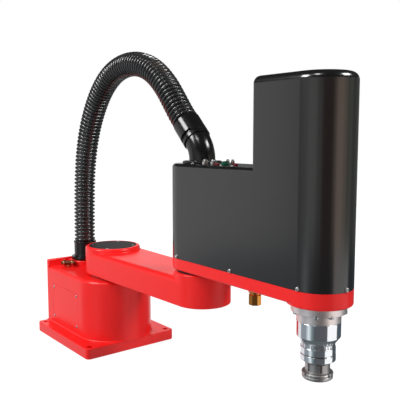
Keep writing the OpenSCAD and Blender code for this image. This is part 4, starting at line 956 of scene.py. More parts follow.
class ROBOT_OT_first_cap(bpy.types.Operator):
    """Makes the dark cap over the first axis with its ring of small screws"""

    bl_idname = "robot.first_cap"
    bl_label = "First axis cap"

    def execute(self, context):
        low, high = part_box("first_axis_cap")
        r = (high.x - low.x) / 2
        top = high.z
        profile = [(0, low.z), (r, low.z), (r, top), (r - 2.2 * MM, top), (r - 2.8 * MM, top - 0.5 * MM),
                   (r - 3.4 * MM, top), (0, top)]
        body = lathe(filleted(profile, 0.4 * MM, 3), 0, 0, 128)
        piece("axis_cap", body, finish_of("cap_grey"), "arm1", ["first_axis_cap"])
        count = 4
        ring = r - 6.5 * MM
        spots = []
        for i in range(count):
            a = math.radians(45 + 360 * i / count)
            spots.append((Vector((ring * math.cos(a), ring * math.sin(a), top - 0.6 * MM)), (0, 0, 1)))
        fasteners("cap_screw_heads", "flat", spots, 5.6 * MM, 0.8 * MM, finish_of("screw_zinc"), "arm1",
                  "screw_zinc", ["cap_screws"], seed=7)
        return {"FINISHED"}


# The conduit's middle line, from the gland to the cuff, in millimetres
CONDUIT_ROUTE = [
    (-135, 0, 212.5), (-135, 0, 245), (-133.5, 0, 290), (-131, 0, 335), (-126.5, 0, 380),
    (-118, 0, 423), (-104, 0, 466), (-84, 0, 506), (-57, 0, 544), (-25, 0, 575),
    (12, 0, 597), (54, 0, 609), (98, 0, 611), (140, 0, 603), (178, 0, 586),
    (213, 0, 559), (243, 0, 526), (261, 0, 505), (277.5, 0, 488.5),
]


def smooth_route(points, steps=8):
    """A curve through the points, as a fine line."""
    line = []
    count = len(points)
    for i in range(count - 1):
        p0, p1 = points[max(i - 1, 0)], points[i]
        p2, p3 = points[i + 1], points[min(i + 2, count - 1)]
        for k in range(steps):
            t = k / steps
            line.append(0.5 * (2 * p1 + (p2 - p0) * t + (2 * p0 - 5 * p1 + 4 * p2 - p3) * t ** 2
                               + (3 * p1 - p0 - 3 * p2 + p3) * t ** 3))
    line.append(points[-1])
    return line


class ROBOT_OT_conduit(bpy.types.Operator):
    """Makes the ribbed conduit that arches from the base to the second arm"""

    bl_idname = "robot.conduit"
    bl_label = "Conduit"

    def execute(self, context):
        sizes = context.scene.robot_conduit
        line = smooth_route([Vector(p) * MM for p in CONDUIT_ROUTE])
        curve = bpy.data.curves.new("route", "CURVE")
        curve.dimensions = "3D"
        spline = curve.splines.new("POLY")
        spline.points.add(len(line) - 1)
        for point, place in zip(spline.points, line):
            point.co = (*place, 1)
        route = bpy.data.objects.new("route", curve)
        context.scene.collection.objects.link(route)
        mesh = tree_for("ribs", build_rib_tree).run(route, {
            "Pitch": sizes.pitch, "Root radius": sizes.root, "Crest radius": sizes.crest,
            "Rings per pitch": 12, "Around": 48, "Rib share": sizes.rib_share,
            "Material": finish_of("conduit_black"),
        })
        tube = finish_piece("ribbed_conduit", mesh, finish_of("conduit_black"), None,
                            ["conduit"],
                            sharp=60, weighted=False)
        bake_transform(tube)
        return {"FINISHED"}


# The second arm

class ROBOT_OT_second_arm(bpy.types.Operator):
    """Makes the second arm's casting, a tray with a round boss at the tool end"""

    bl_idname = "robot.second_arm"
    bl_label = "Second arm"

    def execute(self, context):
        sizes = context.scene.robot_castings
        r = ARM2_HIGH.y
        x0 = ARM2_LOW.x + r
        outline = arm_outline(x0, r, TOOL_X, r)
        low = TRAY_FLOOR
        seam = COVER_LOW.z
        loops = wall_loops(outline, low, seam - 0.3 * MM, sizes.arm2_lower_edge, 0.4 * MM)
        inner = 3.4 * MM
        loops += [lifted(outline(inner), seam - 0.3 * MM), lifted(outline(inner), seam + 8 * MM),
                  lifted(outline(inner + 3 * MM), seam + 8 * MM),
                  lifted(outline(inner + 3 * MM), low + 9 * MM)]
        tray = stack(loops)
        boss = stack(wall_loops(round_outline(TOOL_X, 0, r, 112), ARM2_LOW.z, low + 5 * MM, 3 * MM, 0))
        body = carved(tray, [post(TOOL_X, 0, ARM2_LOW.z - 5 * MM, low + 20 * MM, 26.6 * MM, 64)], [boss])
        piece("second_arm", body, finish_of("red_paint"), "arm2", ["arm2_casting"])
        return {"FINISHED"}


class ROBOT_OT_cover(bpy.types.Operator):
    """Makes the black cover over the second arm: a low part and a tall column"""

    bl_idname = "robot.cover"
    bl_label = "Cover"

    def execute(self, context):
        sizes = context.scene.robot_cover
        r = COVER_HIGH.y
        x0 = COVER_LOW.x + r
        seam = COVER_LOW.z
        low = stack(wall_loops(arm_outline(x0, r, TOOL_X, r), seam, sizes.low_top, 0.5 * MM, sizes.low_edge,
                               8))
        shape = round_front(sizes.column_front, r, sizes.column_corner, 80, 8, centre=TOOL_X)
        column = stack(wall_loops(shape, seam + 20 * MM, COVER_HIGH.z, 0, sizes.column_edge, 10))
        outside = carved(low, [], [column])
        piece("cover_shell", outside, finish_of("cover_black"), "arm2", ["arm2_cover"])
        return {"FINISHED"}


class ROBOT_OT_cover_screws(bpy.types.Operator):
    """Makes the screws along the cover's lower edge"""

    bl_idname = "robot.cover_screws"
    bl_label = "Cover screws"

    def execute(self, context):
        r = COVER_HIGH.y
        z = COVER_LOW.z + 3.2 * MM
        spots = []
        for x in (ARM2_X - 12 * MM, ARM2_X + 133 * MM):
            spots += [(Vector((x, side * r, z)), (0, side, 0)) for side in (-1, 1)]
        lead = 3 * MM
        y = math.sqrt(r * r - lead * lead)
        spots += [(Vector((TOOL_X + lead, side * y, z)), (lead / r, side * y / r, 0)) for side in (-1, 1)]
        spots.append((Vector((TOOL_X + r, 0, z)), (1, 0, 0)))
        spots.append((Vector((COVER_LOW.x, 0, z)), (-1, 0, 0)))
        fasteners("cover_screw_heads", "pan", spots, 7 * MM, 2.4 * MM, finish_of("screw_zinc"), "arm2",
                  "screw_zinc", ["cover_screws"], seed=11)
        return {"FINISHED"}


class ROBOT_OT_elbow(bpy.types.Operator):
    """Makes the glossy elbow, its seat and the cuff that holds the conduit's upper end"""

    bl_idname = "robot.elbow"
    bl_label = "Elbow and cuff"

    def execute(self, context):
        seat_r = (SEAT_HIGH.x - SEAT_LOW.x) / 2
        top = SEAT_HIGH.z
        foot = context.scene.robot_cover.low_top
        profile = [(0, foot + 0.05 * MM), (seat_r, foot + 0.05 * MM), (seat_r, top - 1.2 * MM),
                   (seat_r - 4 * MM, top), (18.6 * MM, top), (18.6 * MM, foot + 1 * MM), (0, foot + 1 * MM)]
        seat = lathe(filleted(profile, 0.8 * MM), ARM2_X)
        piece("elbow_seat_ring", seat, finish_of("black_plastic"), "arm2", ["elbow_seat"])
        bend = CUFF_LEAN
        bend_r = 50 * MM
        start = top + 0.3 * MM
        radius = 23.5 * MM
        rings = []
        steps = 20
        for i in range(steps + 1):
            a = bend * i / steps
            middle = Vector((ARM2_X - bend_r * (1 - math.cos(a)), 0, start + bend_r * math.sin(a)))
            rings.append((middle, a, radius))
        piece("elbow_body", self.tube(rings), finish_of("black_plastic"), "elbow",
              ["swivel_elbow"])
        end = rings[-1][0]
        along = Vector((-math.sin(bend), 0, math.cos(bend)))
        # distance along the cuff, and its radius outside the slot and in it, in millimetres
        stations = [(0.3, 21, 21), (0.3, 25.2, 25.2), (1.1, 26, 26), (6.4, 26, 26), (7.0, 25.3, 25.3),
                    (7.6, 25.3, 25.3), (8.2, 26, 26), (8.7, 26, 26), (8.8, 26, 22.4), (14.2, 26, 22.4),
                    (14.3, 26, 26), (44.6, 26, 26), (45.6, 25.2, 25.2), (45.6, 22.5, 22.5)]
        slot = math.radians(-172), math.radians(-48)
        cuff = []
        for s, whole, cut in stations:
            cuff.append((end + along * s * MM, bend,
                         lambda a, whole=whole, cut=cut: (cut if slot[0] < a < slot[1] else whole) * MM))
        piece("cuff_body", self.tube(cuff), finish_of("black_plastic"), "elbow",
              ["conduit_cuff"])
        return {"FINISHED"}

    def tube(self, rings, count=120):
        """A closed tube through rings: each a middle, a lean from upright and a radius for every angle."""
        loops = []
        for middle, lean, radius in rings:
            side = Vector((0, 1, 0))
            out = Vector((math.cos(lean), 0, math.sin(lean)))
            reach = radius if callable(radius) else lambda a, radius=radius: radius
            loops.append([middle + reach(a) * (math.cos(a) * out + math.sin(a) * side)
                          for a in (2 * math.pi * k / count - math.pi for k in range(count))])
        return stack(loops)


# The quill and the tool shaft

class ROBOT_OT_quill(bpy.types.Operator):
    """Makes the quill's flange with its bolts, and the bright housing under it"""

    bl_idname = "robot.quill"
    bl_label = "Quill"

    def execute(self, context):
        low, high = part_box("quill_flange")
        flange_r = (high.y - low.y) / 2
        boss = ARM2_LOW.z
        flange_low = boss - 11.7 * MM
        spacer_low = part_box("quill_housing")[1].z
        profile = [(23 * MM, boss), (flange_r, boss), (flange_r, flange_low), (31 * MM, flange_low),
                   (31 * MM, flange_low - 1.6 * MM), (QUILL_R, flange_low - 2.2 * MM), (QUILL_R, spacer_low),
                   (23 * MM, spacer_low)]
        body = lathe(filleted(profile, 0.6 * MM, 3, closed=True), TOOL_X, closed=True)
        piece("quill_plate", body, finish_of("pale_steel"), "arm2", ["quill_flange"])
        low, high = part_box("quill_housing")
        nose = 25.5 * MM
        body_low = low.z + 10 * MM
        profile = [(SLEEVE_BORE_R, high.z), (QUILL_R, high.z), (QUILL_R, body_low), (nose, low.z),
                   (SLEEVE_BORE_R, low.z)]
        body = lathe(filleted(profile, 0.7 * MM, 3, closed=True), TOOL_X, closed=True)
        slot = (nose - 1.4 * MM, QUILL_R, -1.2 * MM, 1.2 * MM, low.z - 1 * MM, low.z + 5.5 * MM)
        slots = [moved(boxed(*slot), about_tool(360 * k / NUT_TEETH)) for k in range(NUT_TEETH)]
        body = carved(body, [joined(*slots)])
        piece("quill_barrel", body, finish_of("chrome"), "arm2", ["quill_housing"])
        head_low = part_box("quill_flange_bolts")[0].z
        spots = [(ring_spot(TOOL_X, 37 * MM, a + quarter, head_low + 4 * MM), (0, 0, -1))
                 for a in (-55, -22) for quarter in (0, 90, 180, 270)]
        fasteners("quill_bolt_heads", "socket", spots, 8.5 * MM, 5 * MM, finish_of("screw_zinc"), "arm2",
                  "screw_zinc", ["quill_flange_bolts"], seed=13)
        return {"FINISHED"}


def about_tool(degrees):
    """Turns a shape made round the origin and puts it on the tool axis."""
    return Matrix.Translation((TOOL_X, 0, 0)) @ Matrix.Rotation(math.radians(degrees), 4, "Z")


def ring_spot(x, r, degrees, z):
    """A point at a bearing on a circle round the upright axis at x."""
    a = math.radians(degrees)
    return Vector((x + r * math.cos(a), r * math.sin(a), z))


def toothed(x, y, outer, inner, teeth, share=0.55, steps=4):
    """The outline of a ring with square teeth."""
    def outline(inset):
        points = []
        for i in range(teeth):
            start = 360 * i / teeth
            points += arc(x, y, outer - inset, start, start + 360 / teeth * share, steps)
            valley = start + 360 / teeth * (share + 0.02), start + 360 / teeth * 0.98
            points += arc(x, y, inner - inset, *valley, steps)
        return points
    return outline


class ROBOT_OT_nut_rings(bpy.types.Operator):
    """Makes the spline nut's toothed ring and sleeve, and the two lock rings on it"""

    bl_idname = "robot.nut_rings"
    bl_label = "Nut and lock rings"

    def execute(self, context):
        low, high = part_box("spline_nut")
        rings_low, rings_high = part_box("lock_rings")
        ring_r = (rings_high.x - rings_low.x) / 2
        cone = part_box("quill_housing")[0].z
        sleeve_r = 18.4 * MM
        bore = 10.3 * MM
        sleeve = lathe([(bore, low.z), (sleeve_r, low.z), (sleeve_r, high.z), (bore, high.z)], TOOL_X,
                       closed=True)
        plan = toothed(TOOL_X, 0, 25.1 * MM, 23.2 * MM, NUT_TEETH)
        teeth = stack(wall_loops(plan, rings_high.z, cone - 0.4 * MM, 0.3 * MM, 0.3 * MM, 2))
        piece("nut_sleeve", joined(sleeve, teeth), finish_of("chrome"), "wrist", ["spline_nut"])
        split_low, split_high = rings_low.z + 9 * MM, rings_low.z + 9.9 * MM
        upper = [(sleeve_r, split_high), (ring_r - 0.3 * MM, split_high), (ring_r - 0.3 * MM, rings_high.z),
                 (sleeve_r, rings_high.z)]
        lower = [(sleeve_r, rings_low.z), (ring_r, rings_low.z), (ring_r, split_low), (sleeve_r, split_low)]
        rings = [lathe(filleted(p, 0.5 * MM, 3, closed=True), TOOL_X, closed=True) for p in (upper, lower)]
        piece("lock_ring_pair", joined(*rings), finish_of("chrome"), "wrist", ["lock_rings"])
        return {"FINISHED"}


class ROBOT_OT_tool_end(bpy.types.Operator):
    """Makes the tool shaft, its end flange and the stop collar"""

    bl_idname = "robot.tool_end"
    bl_label = "Tool end"

    def execute(self, context):
        low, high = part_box("tool_shaft")
        collar_low, collar_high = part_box("stop_collar")
        collar_r = (collar_high.x - collar_low.x) / 2
        flange_r = (high.x - low.x) / 2
        bore, rod_r = 5.5 * MM, SHAFT_R
        rod = [(bore, low.z + 0.5 * MM), (rod_r - 0.05 * MM, low.z + 0.5 * MM), (rod_r - 0.05 * MM, high.z),
               (bore, high.z)]
        piece("tool_rod", lathe(filleted(rod, 0.8 * MM, 3, closed=True), TOOL_X, segments=64, closed=True),
              finish_of("chrome"), "tool", ["tool_shaft"])
        top = collar_low.z
        rim = [(bore, low.z), (flange_r - 1.6 * MM, low.z), (flange_r - 0.4 * MM, low.z + 1.2 * MM),
               (flange_r - 0.4 * MM, low.z + 4.2 * MM), (flange_r - 1.2 * MM, low.z + 4.8 * MM),
               (flange_r - 1.2 * MM, low.z + 5.6 * MM), (flange_r, low.z + 6.2 * MM),
               (flange_r, top - 0.6 * MM),
               (flange_r - 0.6 * MM, top), (bore, top)]
        flange = lathe(filleted(rim, 0.3 * MM, 2, closed=True), TOOL_X, closed=True)
        cuts = [self.rim_notch(flange_r, a, low.z + 6 * MM, top + 1 * MM) for a in (-95, -5, 85, 175)]
        cuts += [post(*ring_spot(TOOL_X, 15.75 * MM, a, 0).xy, low.z - 1 * MM, top + 1 * MM, 2.5 * MM, 24)
                 for a in (45, 135, 225, 315)]
        piece("tool_end_flange", carved(flange, cuts), finish_of("grey_steel"), "tool")
        ring = [(rod_r + 0.05 * MM, collar_low.z), (collar_r, collar_low.z), (collar_r, collar_high.z),
                (rod_r + 0.05 * MM, collar_high.z)]
        collar = lathe(filleted(ring, 0.8 * MM, 3, closed=True), TOOL_X, closed=True)
        cuts = [self.rim_notch(collar_r, a, collar_low.z + 3 * MM, collar_high.z + 1 * MM, 2.6 * MM, 4 * MM)
                for a in range(-33, 327, 60)]
        piece("stop_collar_ring", carved(collar, cuts), finish_of("grey_steel"), "tool",
              ["stop_collar"])
        return {"FINISHED"}

    def rim_notch(self, r, degrees, z0, z1, width=5 * MM, depth=2 * MM):
        """A cutter for a notch in a rim, at a bearing round the tool axis."""
        bm = boxed(r - depth, r + 3 * MM, -width / 2, width / 2, z0, z1)
        return moved(bm, about_tool(degrees))


def hexagon_prism(r, z0, z1, bevel=0.4 * MM, sides=6, turn=0.0):
    """A prism whose corners lie on a circle, with a small bevel at both ends."""
    def ring(radius, z):
        return [Vector((radius * math.cos(a), radius * math.sin(a), z))
                for a in (2 * math.pi * k / sides + math.radians(turn) for k in range(sides))]
    return stack([ring(r - bevel, z0), ring(r, z0 + bevel), ring(r, z1 - bevel), ring(r - bevel, z1)])


def push_fitting(r, height, depth):
    """A push-in air fitting that faces +Z: a hexagon, a round neck and a release ring with its mouth."""
    hexed = hexagon_prism(r, 0, 0.5 * height, 0.06 * r)
    mouth = 0.42 * r
    neck = [(0, -depth), (0.46 * r, -depth), (0.46 * r, 0), (0.84 * r, 0.45 * height),
            (0.84 * r, 0.78 * height), (0.62 * r, 0.84 * height), (0.66 * r, 0.9 * height),
            (0.66 * r, height), (mouth, height), (mouth, 0.55 * height), (0, 0.55 * height)]
    return joined(hexed, lathe(filleted(neck, 0.05 * r, 2), segments=40))


class ROBOT_OT_top_fittings(bpy.types.Operator):
    """Makes the fittings, buttons and small screws on top of the cover's low part"""

    bl_idname = "robot.top_fittings"
    bl_label = "Fittings on the cover"

    def execute(self, context):
        top = context.scene.robot_cover.low_top
        low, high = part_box("cover_air_fittings")
        height, depth = high.z - top, top - low.z
        big, small = 5.2 * MM, 3.7 * MM
        near, far = low.x + big, high.x - small
        places = [(near, -30 * MM, big), (near + 15 * MM, -24 * MM, big),
                  (far - 12.6 * MM, -5.5 * MM, small), (far, -5.5 * MM, small)]
        parts = []
        for k, (x, y, r) in enumerate(places):
            place = Matrix.Translation((x, y, top)) @ Matrix.Rotation(k, 4, "Z")
            parts.append(moved(push_fitting(r, height, depth), place))
        piece("cover_top_fittings", joined(*parts), finish_of("connector_nickel"), "arm2",
              ["cover_air_fittings"])
        low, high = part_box("cover_green_fitting")
        middle = (low + high) / 2
        green = moved(push_fitting((high.x - low.x) / 2, high.z - top, top - low.z),
                      Matrix.Translation((middle.x, middle.y, top)))
        piece("green_top_fitting", green, finish_of("green_plastic"), "arm2",
              ["cover_green_fitting"])
        low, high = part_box("cover_red_buttons")
        r = 4 * MM
        parts = []
        for x, y in ((low.x + r, low.y + r), (high.x - r, high.y - r)):
            cap = [(0, low.z), (0.55 * r, low.z), (0.55 * r, top + 0.1 * MM), (r, top + 0.1 * MM),
                   (r, high.z - 0.8 * MM), (0.8 * r, high.z), (0, high.z)]
            parts.append(lathe(filleted(cap, 0.5 * MM, 3), x, y, 40))
        piece("red_top_buttons", joined(*parts), finish_of("red_plastic"), "arm2",
              ["cover_red_buttons"])
        low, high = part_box("cover_top_screws")
        r = 2.3 * MM
        spots = [(Vector((x, low.y + r, top)), (0, 0, 1)) for x in (low.x + r, high.x - r)]
        fasteners("cover_top_screw_heads", "pan", spots, 2 * r, high.z - top, finish_of("screw_zinc"), "arm2",
                  "screw_zinc", ["cover_top_screws"], seed=17)
        return {"FINISHED"}


class ROBOT_OT_brass_fittings(bpy.types.Operator):
    """Makes the brass fitting on the tower's roof and the one under the second arm"""

    bl_idname = "robot.brass_fittings"
    bl_label = "Brass fittings"

    def execute(self, context):
        low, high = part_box("tower_brass_fitting")
        middle = (low + high) / 2
        middle.z = high.z - 7 * MM
        lie = (Matrix.Translation(middle) @ Matrix.Rotation(math.radians(52), 4, "Z")
               @ Matrix.Rotation(math.radians(90), 4, "Y"))
        half = 16.8 * MM
        inner, outer, wide = 4.6 * MM, 7 * MM, 4 * MM
        rings = []
        for z in (-12 * MM, 8 * MM):
            section = [(inner, z), (outer, z), (outer, z + wide), (inner, z + wide)]
            rings.append(lathe(filleted(section, 0.8 * MM, 3, closed=True), segments=48, closed=True))
        stem = joined(hexagon_prism(6 * MM, 0, 2.5 * MM), post(0, 0, -9 * MM, 9.5 * MM, 3.6 * MM))
        roof = Matrix.Translation((middle.x, middle.y, context.scene.robot_castings.tower_height))
        piece("brass_rings", joined(moved(joined(*rings), lie), moved(stem, roof)), finish_of("brass"),
              "base",
              ["tower_brass_fitting"])
        barrel = [(0, -half), (3.4 * MM, -half), (5 * MM, -half + 1 * MM), (5 * MM, -9 * MM),
                  (6 * MM, -8.4 * MM),
                  (6 * MM, -2 * MM), (5.4 * MM, -1 * MM), (5.4 * MM, 1 * MM), (6 * MM, 2 * MM),
                  (6 * MM, 8.4 * MM),
                  (5 * MM, 9 * MM), (5 * MM, half - 1 * MM), (3.4 * MM, half), (0, half)]
        body = moved(lathe(filleted(barrel, 0.4 * MM, 2), segments=48), lie)
        # The barrel wears the darker copy of the brass: painted dark reflection
        piece("brass_barrel", body, finish_of("brass_painted_dark_reflection"), "base")
        low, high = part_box("under_arm_fitting")
        r = (high.x - low.x) / 2
        top = TRAY_FLOOR
        x = (low.x + high.x) / 2
        bore = r - 5 * MM
        upper = [(bore, top - 22 * MM), (r - 2.4 * MM, top - 22 * MM), (r - 2.4 * MM, top - 17.2 * MM),
                 (r, top - 16.6 * MM), (r, top - 11 * MM), (r - 0.6 * MM, top - 10.4 * MM),
                 (r, top - 9.8 * MM),
                 (r, top), (r - 4.3 * MM, top), (r - 4.3 * MM, high.z), (bore, high.z)]
        body = lathe(filleted(upper, 0.5 * MM, 2, closed=True), x, closed=True)
        nut = hexagon_prism(r, low.z, top - 20 * MM, 0.7 * MM, 8, 22.5)
        nut = carved(moved(nut, Matrix.Translation((x, 0, 0))), [post(x, 0, low.z - 1 * MM, top, bore)])
        piece("under_arm_union", joined(body, nut), finish_of("orange_brass"), "arm2",
              ["under_arm_fitting"])
        return {"FINISHED"}


class ROBOT_OT_rear_connectors(bpy.types.Operator):
    """Makes the rear panel and its connectors and air fittings"""

    bl_idname = "robot.rear_connectors"
    bl_label = "Rear connectors"

    def execute(self, context):
        low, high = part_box("rear_panel")
        face = low.x
        plan = round_box(low.z, high.z, low.y, high.y, PANEL_CORNER)
        plate = stack(wall_loops(plan, 0, high.x - low.x, 0, PANEL_EDGE, 3))
        lean = Matrix(((0, 0, -1, high.x), (0, 1, 0, 0), (1, 0, 0, 0), (0, 0, 0, 1)))
        piece("rear_panel_plate", moved(plate, lean), finish_of("panel_black"), "base",
              ["rear_panel"])
        for node, slot in (("power_connector", "black_plastic"), ("signal_connector", "connector_nickel")):
            low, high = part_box(node)
            reach, depth = face - low.x, high.x - face
            r = (high.z - low.z) / 2
            cup = [(0, -depth), (r * 0.6, -depth), (r * 0.6, 0), (r, 0), (r, 3 * MM), (r * 0.84, 3.4 * MM),
                   (r * 0.84, reach), (r * 0.7, reach), (r * 0.7, 5 * MM), (0, 5 * MM)]
            shell = lathe(filleted(cup, 0.5 * MM, 2), segments=64)
            pins = [post(*p, 4.8 * MM, 10 * MM, 1.3 * MM, 16) for p in arc(0, 0, r * 0.38, 0, 300, 5)]
            place = Matrix.Translation((face, (low.y + high.y) / 2, (low.z + high.z) / 2))
            piece(node + "_cup",
                  moved(joined(shell, *pins), place @ Matrix.Rotation(math.radians(-90), 4, "Y")),
                  finish_of(slot), "base", [node])
        low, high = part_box("user_connector")
        reach = face - low.x
        frame_shape = round_box(-(high.z - low.z) / 2, (high.z - low.z) / 2, -(high.y - low.y) / 2,
                                (high.y - low.y) / 2, 3 * MM)
        loops = [lifted(frame_shape(2 * MM), face - high.x)] + [lifted(frame_shape(2 * MM), 0)]
        loops += wall_loops(frame_shape, 0, reach, 0, 0.5 * MM, 3)
        loops += [lifted(frame_shape(1.8 * MM), reach), lifted(frame_shape(1.8 * MM), 2 * MM)]
        pins = [post(row, col * 2.7 * MM, 1.8 * MM, 5 * MM, 0.5 * MM, 12) for row in (-1.5 * MM, 1.5 * MM)
                for col in range(-6, 7)]
        place = Matrix.Translation((face, (low.y + high.y) / 2, (low.z + high.z) / 2))
        piece("user_connector_shell", moved(joined(stack(loops), *pins),
                                            place @ Matrix.Rotation(math.radians(-90), 4, "Y")),
              finish_of("connector_nickel"), "base", ["user_connector"])
        low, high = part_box("rear_air_fittings")
        r = (high.z - low.z) / 2
        parts = []
        for y in (low.y + r, 0, high.y - r):
            place = Matrix.Translation((face, y, low.z + r)) @ Matrix.Rotation(math.radians(-90), 4, "Y")
            parts.append(moved(push_fitting(r, face - low.x, high.x - face), place))
        piece("rear_push_fittings", joined(*parts), finish_of("connector_nickel"), "base",
              ["rear_air_fittings"])
        return {"FINISHED"}


# Stage

def seen_plainly(tree):
    """1 for camera, glossy and transmission rays, which see the plain white surroundings."""
    path = tree.nodes.new("ShaderNodeLightPath")
    either = tree.nodes.new("ShaderNodeMath")
    either.operation = "MAXIMUM"
    seen = tree.nodes.new("ShaderNodeMath")
    seen.operation = "MAXIMUM"
    tree.links.new(path.outputs["Is Camera Ray"], either.inputs[0])
    tree.links.new(path.outputs["Is Glossy Ray"], either.inputs[1])
    tree.links.new(either.outputs[0], seen.inputs[0])
    tree.links.new(path.outputs["Is Transmission Ray"], seen.inputs[1])
    return seen.outputs[0]


def floor_finish():
    """A pale floor that shows white, with a faint shadow of the object where the object stands."""
    material, tree, shader = new_material("floor_white")
    where = tree.nodes.new("ShaderNodeTexCoord")
    centre = tree.nodes.new("ShaderNodeMapping")
    centre.inputs["Location"].default_value = (-0.2, 0, 0)
    centre.inputs["Scale"].default_value = (0.6, 0.6, 0.6)
    fade = tree.nodes.new("ShaderNodeTexGradient")
    fade.gradient_type = "SPHERICAL"
    level = tree.nodes.new("ShaderNodeMapRange")
    level.inputs["From Max"].default_value = 0.55
    level.inputs["To Min"].default_value = 1.0
    level.inputs["To Max"].default_value = 0.86
    tree.links.new(where.outputs["Object"], centre.inputs["Vector"])
    tree.links.new(centre.outputs[0], fade.inputs[0])
    tree.links.new(fade.outputs["Fac"], level.inputs["Value"])
    shader.inputs["Base Color"].default_value = (0.55, 0.55, 0.55, 1)
    shader.inputs["Roughness"].default_value = 1.0
    shader.inputs["Specular IOR Level"].default_value = 0.0
    shade = tree.nodes.new("ShaderNodeBsdfDiffuse")
    shade.inputs["Color"].default_value = (0.22, 0.22, 0.22, 1)
    glow = tree.nodes.new("ShaderNodeEmission")
    tree.links.new(level.outputs[0], glow.inputs["Strength"])
    both = tree.nodes.new("ShaderNodeAddShader")
    mix = tree.nodes.new("ShaderNodeMixShader")
    tree.links.new(shade.outputs[0], both.inputs[0])
    tree.links.new(glow.outputs[0], both.inputs[1])
    tree.links.new(seen_plainly(tree), mix.inputs[0])
    tree.links.new(shader.outputs[0], mix.inputs[1])
    tree.links.new(both.outputs[0], mix.inputs[2])
    tree.links.new(mix.outputs[0], tree.nodes["Material Output"].inputs[0])
    return material


def screen_finish(name, shade):
    """A studio screen's even tone."""
    material, tree, shader = new_material(name)
    glow = tree.nodes.new("ShaderNodeEmission")
    glow.inputs["Color"].default_value = (*shade, 1)
    tree.nodes.remove(shader)
    tree.links.new(glow.outputs[0], tree.nodes["Material Output"].inputs[0])
    return material


# Screens that only reflections see: name, first and last bearing in degrees as seen from the tool,
# and tone. The low ones stand below the floor, where the quill's reflections go.
SCREEN_FOOT, SCREEN_WAIST, SCREEN_SHOULDER, SCREEN_TOP = -3.0, -0.28, 1.05, 2.6
LOW_SCREENS = (
    ("screen_low_rear", -190, -146, (0.8, 0.76, 0.78)),
    ("screen_low_side", -146, -112, (0.26, 0.29, 0.32)),
    ("screen_low_soft", -112, -104, (0.45, 0.5, 0.53)),
    ("screen_low_pale", -104, -92, (0.7, 0.76, 0.8)),
    ("screen_low_left", -92, -84, (0.42, 0.48, 0.5)),
    ("screen_low_teal", -84, -72, (0.15, 0.2, 0.21)),
    ("screen_low_front", -72, -3, (0.09, 0.095, 0.105)),
    ("screen_low_right", 56, 120, (0.07, 0.09, 0.11)),
)
SIDE_SCREENS = (
    ("screen_side", -190, -131, (0.7, 0.7, 0.7)),
    ("screen_narrow", -131, -124, (0.2, 0.2, 0.2)),
    ("screen_edge", -124, -110, (0.34, 0.34, 0.34)),
    ("screen_soft", -110, -96, (0.42, 0.42, 0.42)),
    ("screen_grey", -96, -66, (0.58, 0.58, 0.57)),
    ("screen_dim", -66, -50, (0.36, 0.34, 0.33)),
    ("screen_front", -50, -14, (0.15, 0.1, 0.085)),
    ("screen_brown_edge", -14, -4, (0.5, 0.38, 0.32)),
    ("screen_brown", -4, 20, (1.05, 0.8, 0.66)),
    ("screen_tan", 20, 34, (0.7, 0.57, 0.48)),
    ("screen_olive", 34, 60, (0.34, 0.34, 0.3)),
    ("screen_right", 60, 142, (0.16, 0.17, 0.16)),
)
UPPER_SCREENS = (
    ("screen_upper", -190, 170, (0.04, 0.04, 0.04)),
)
SCREEN_TIERS = (
    (SCREEN_FOOT, SCREEN_WAIST, LOW_SCREENS), (SCREEN_WAIST, SCREEN_SHOULDER, SIDE_SCREENS),
    (SCREEN_SHOULDER, SCREEN_TOP, UPPER_SCREENS),
)


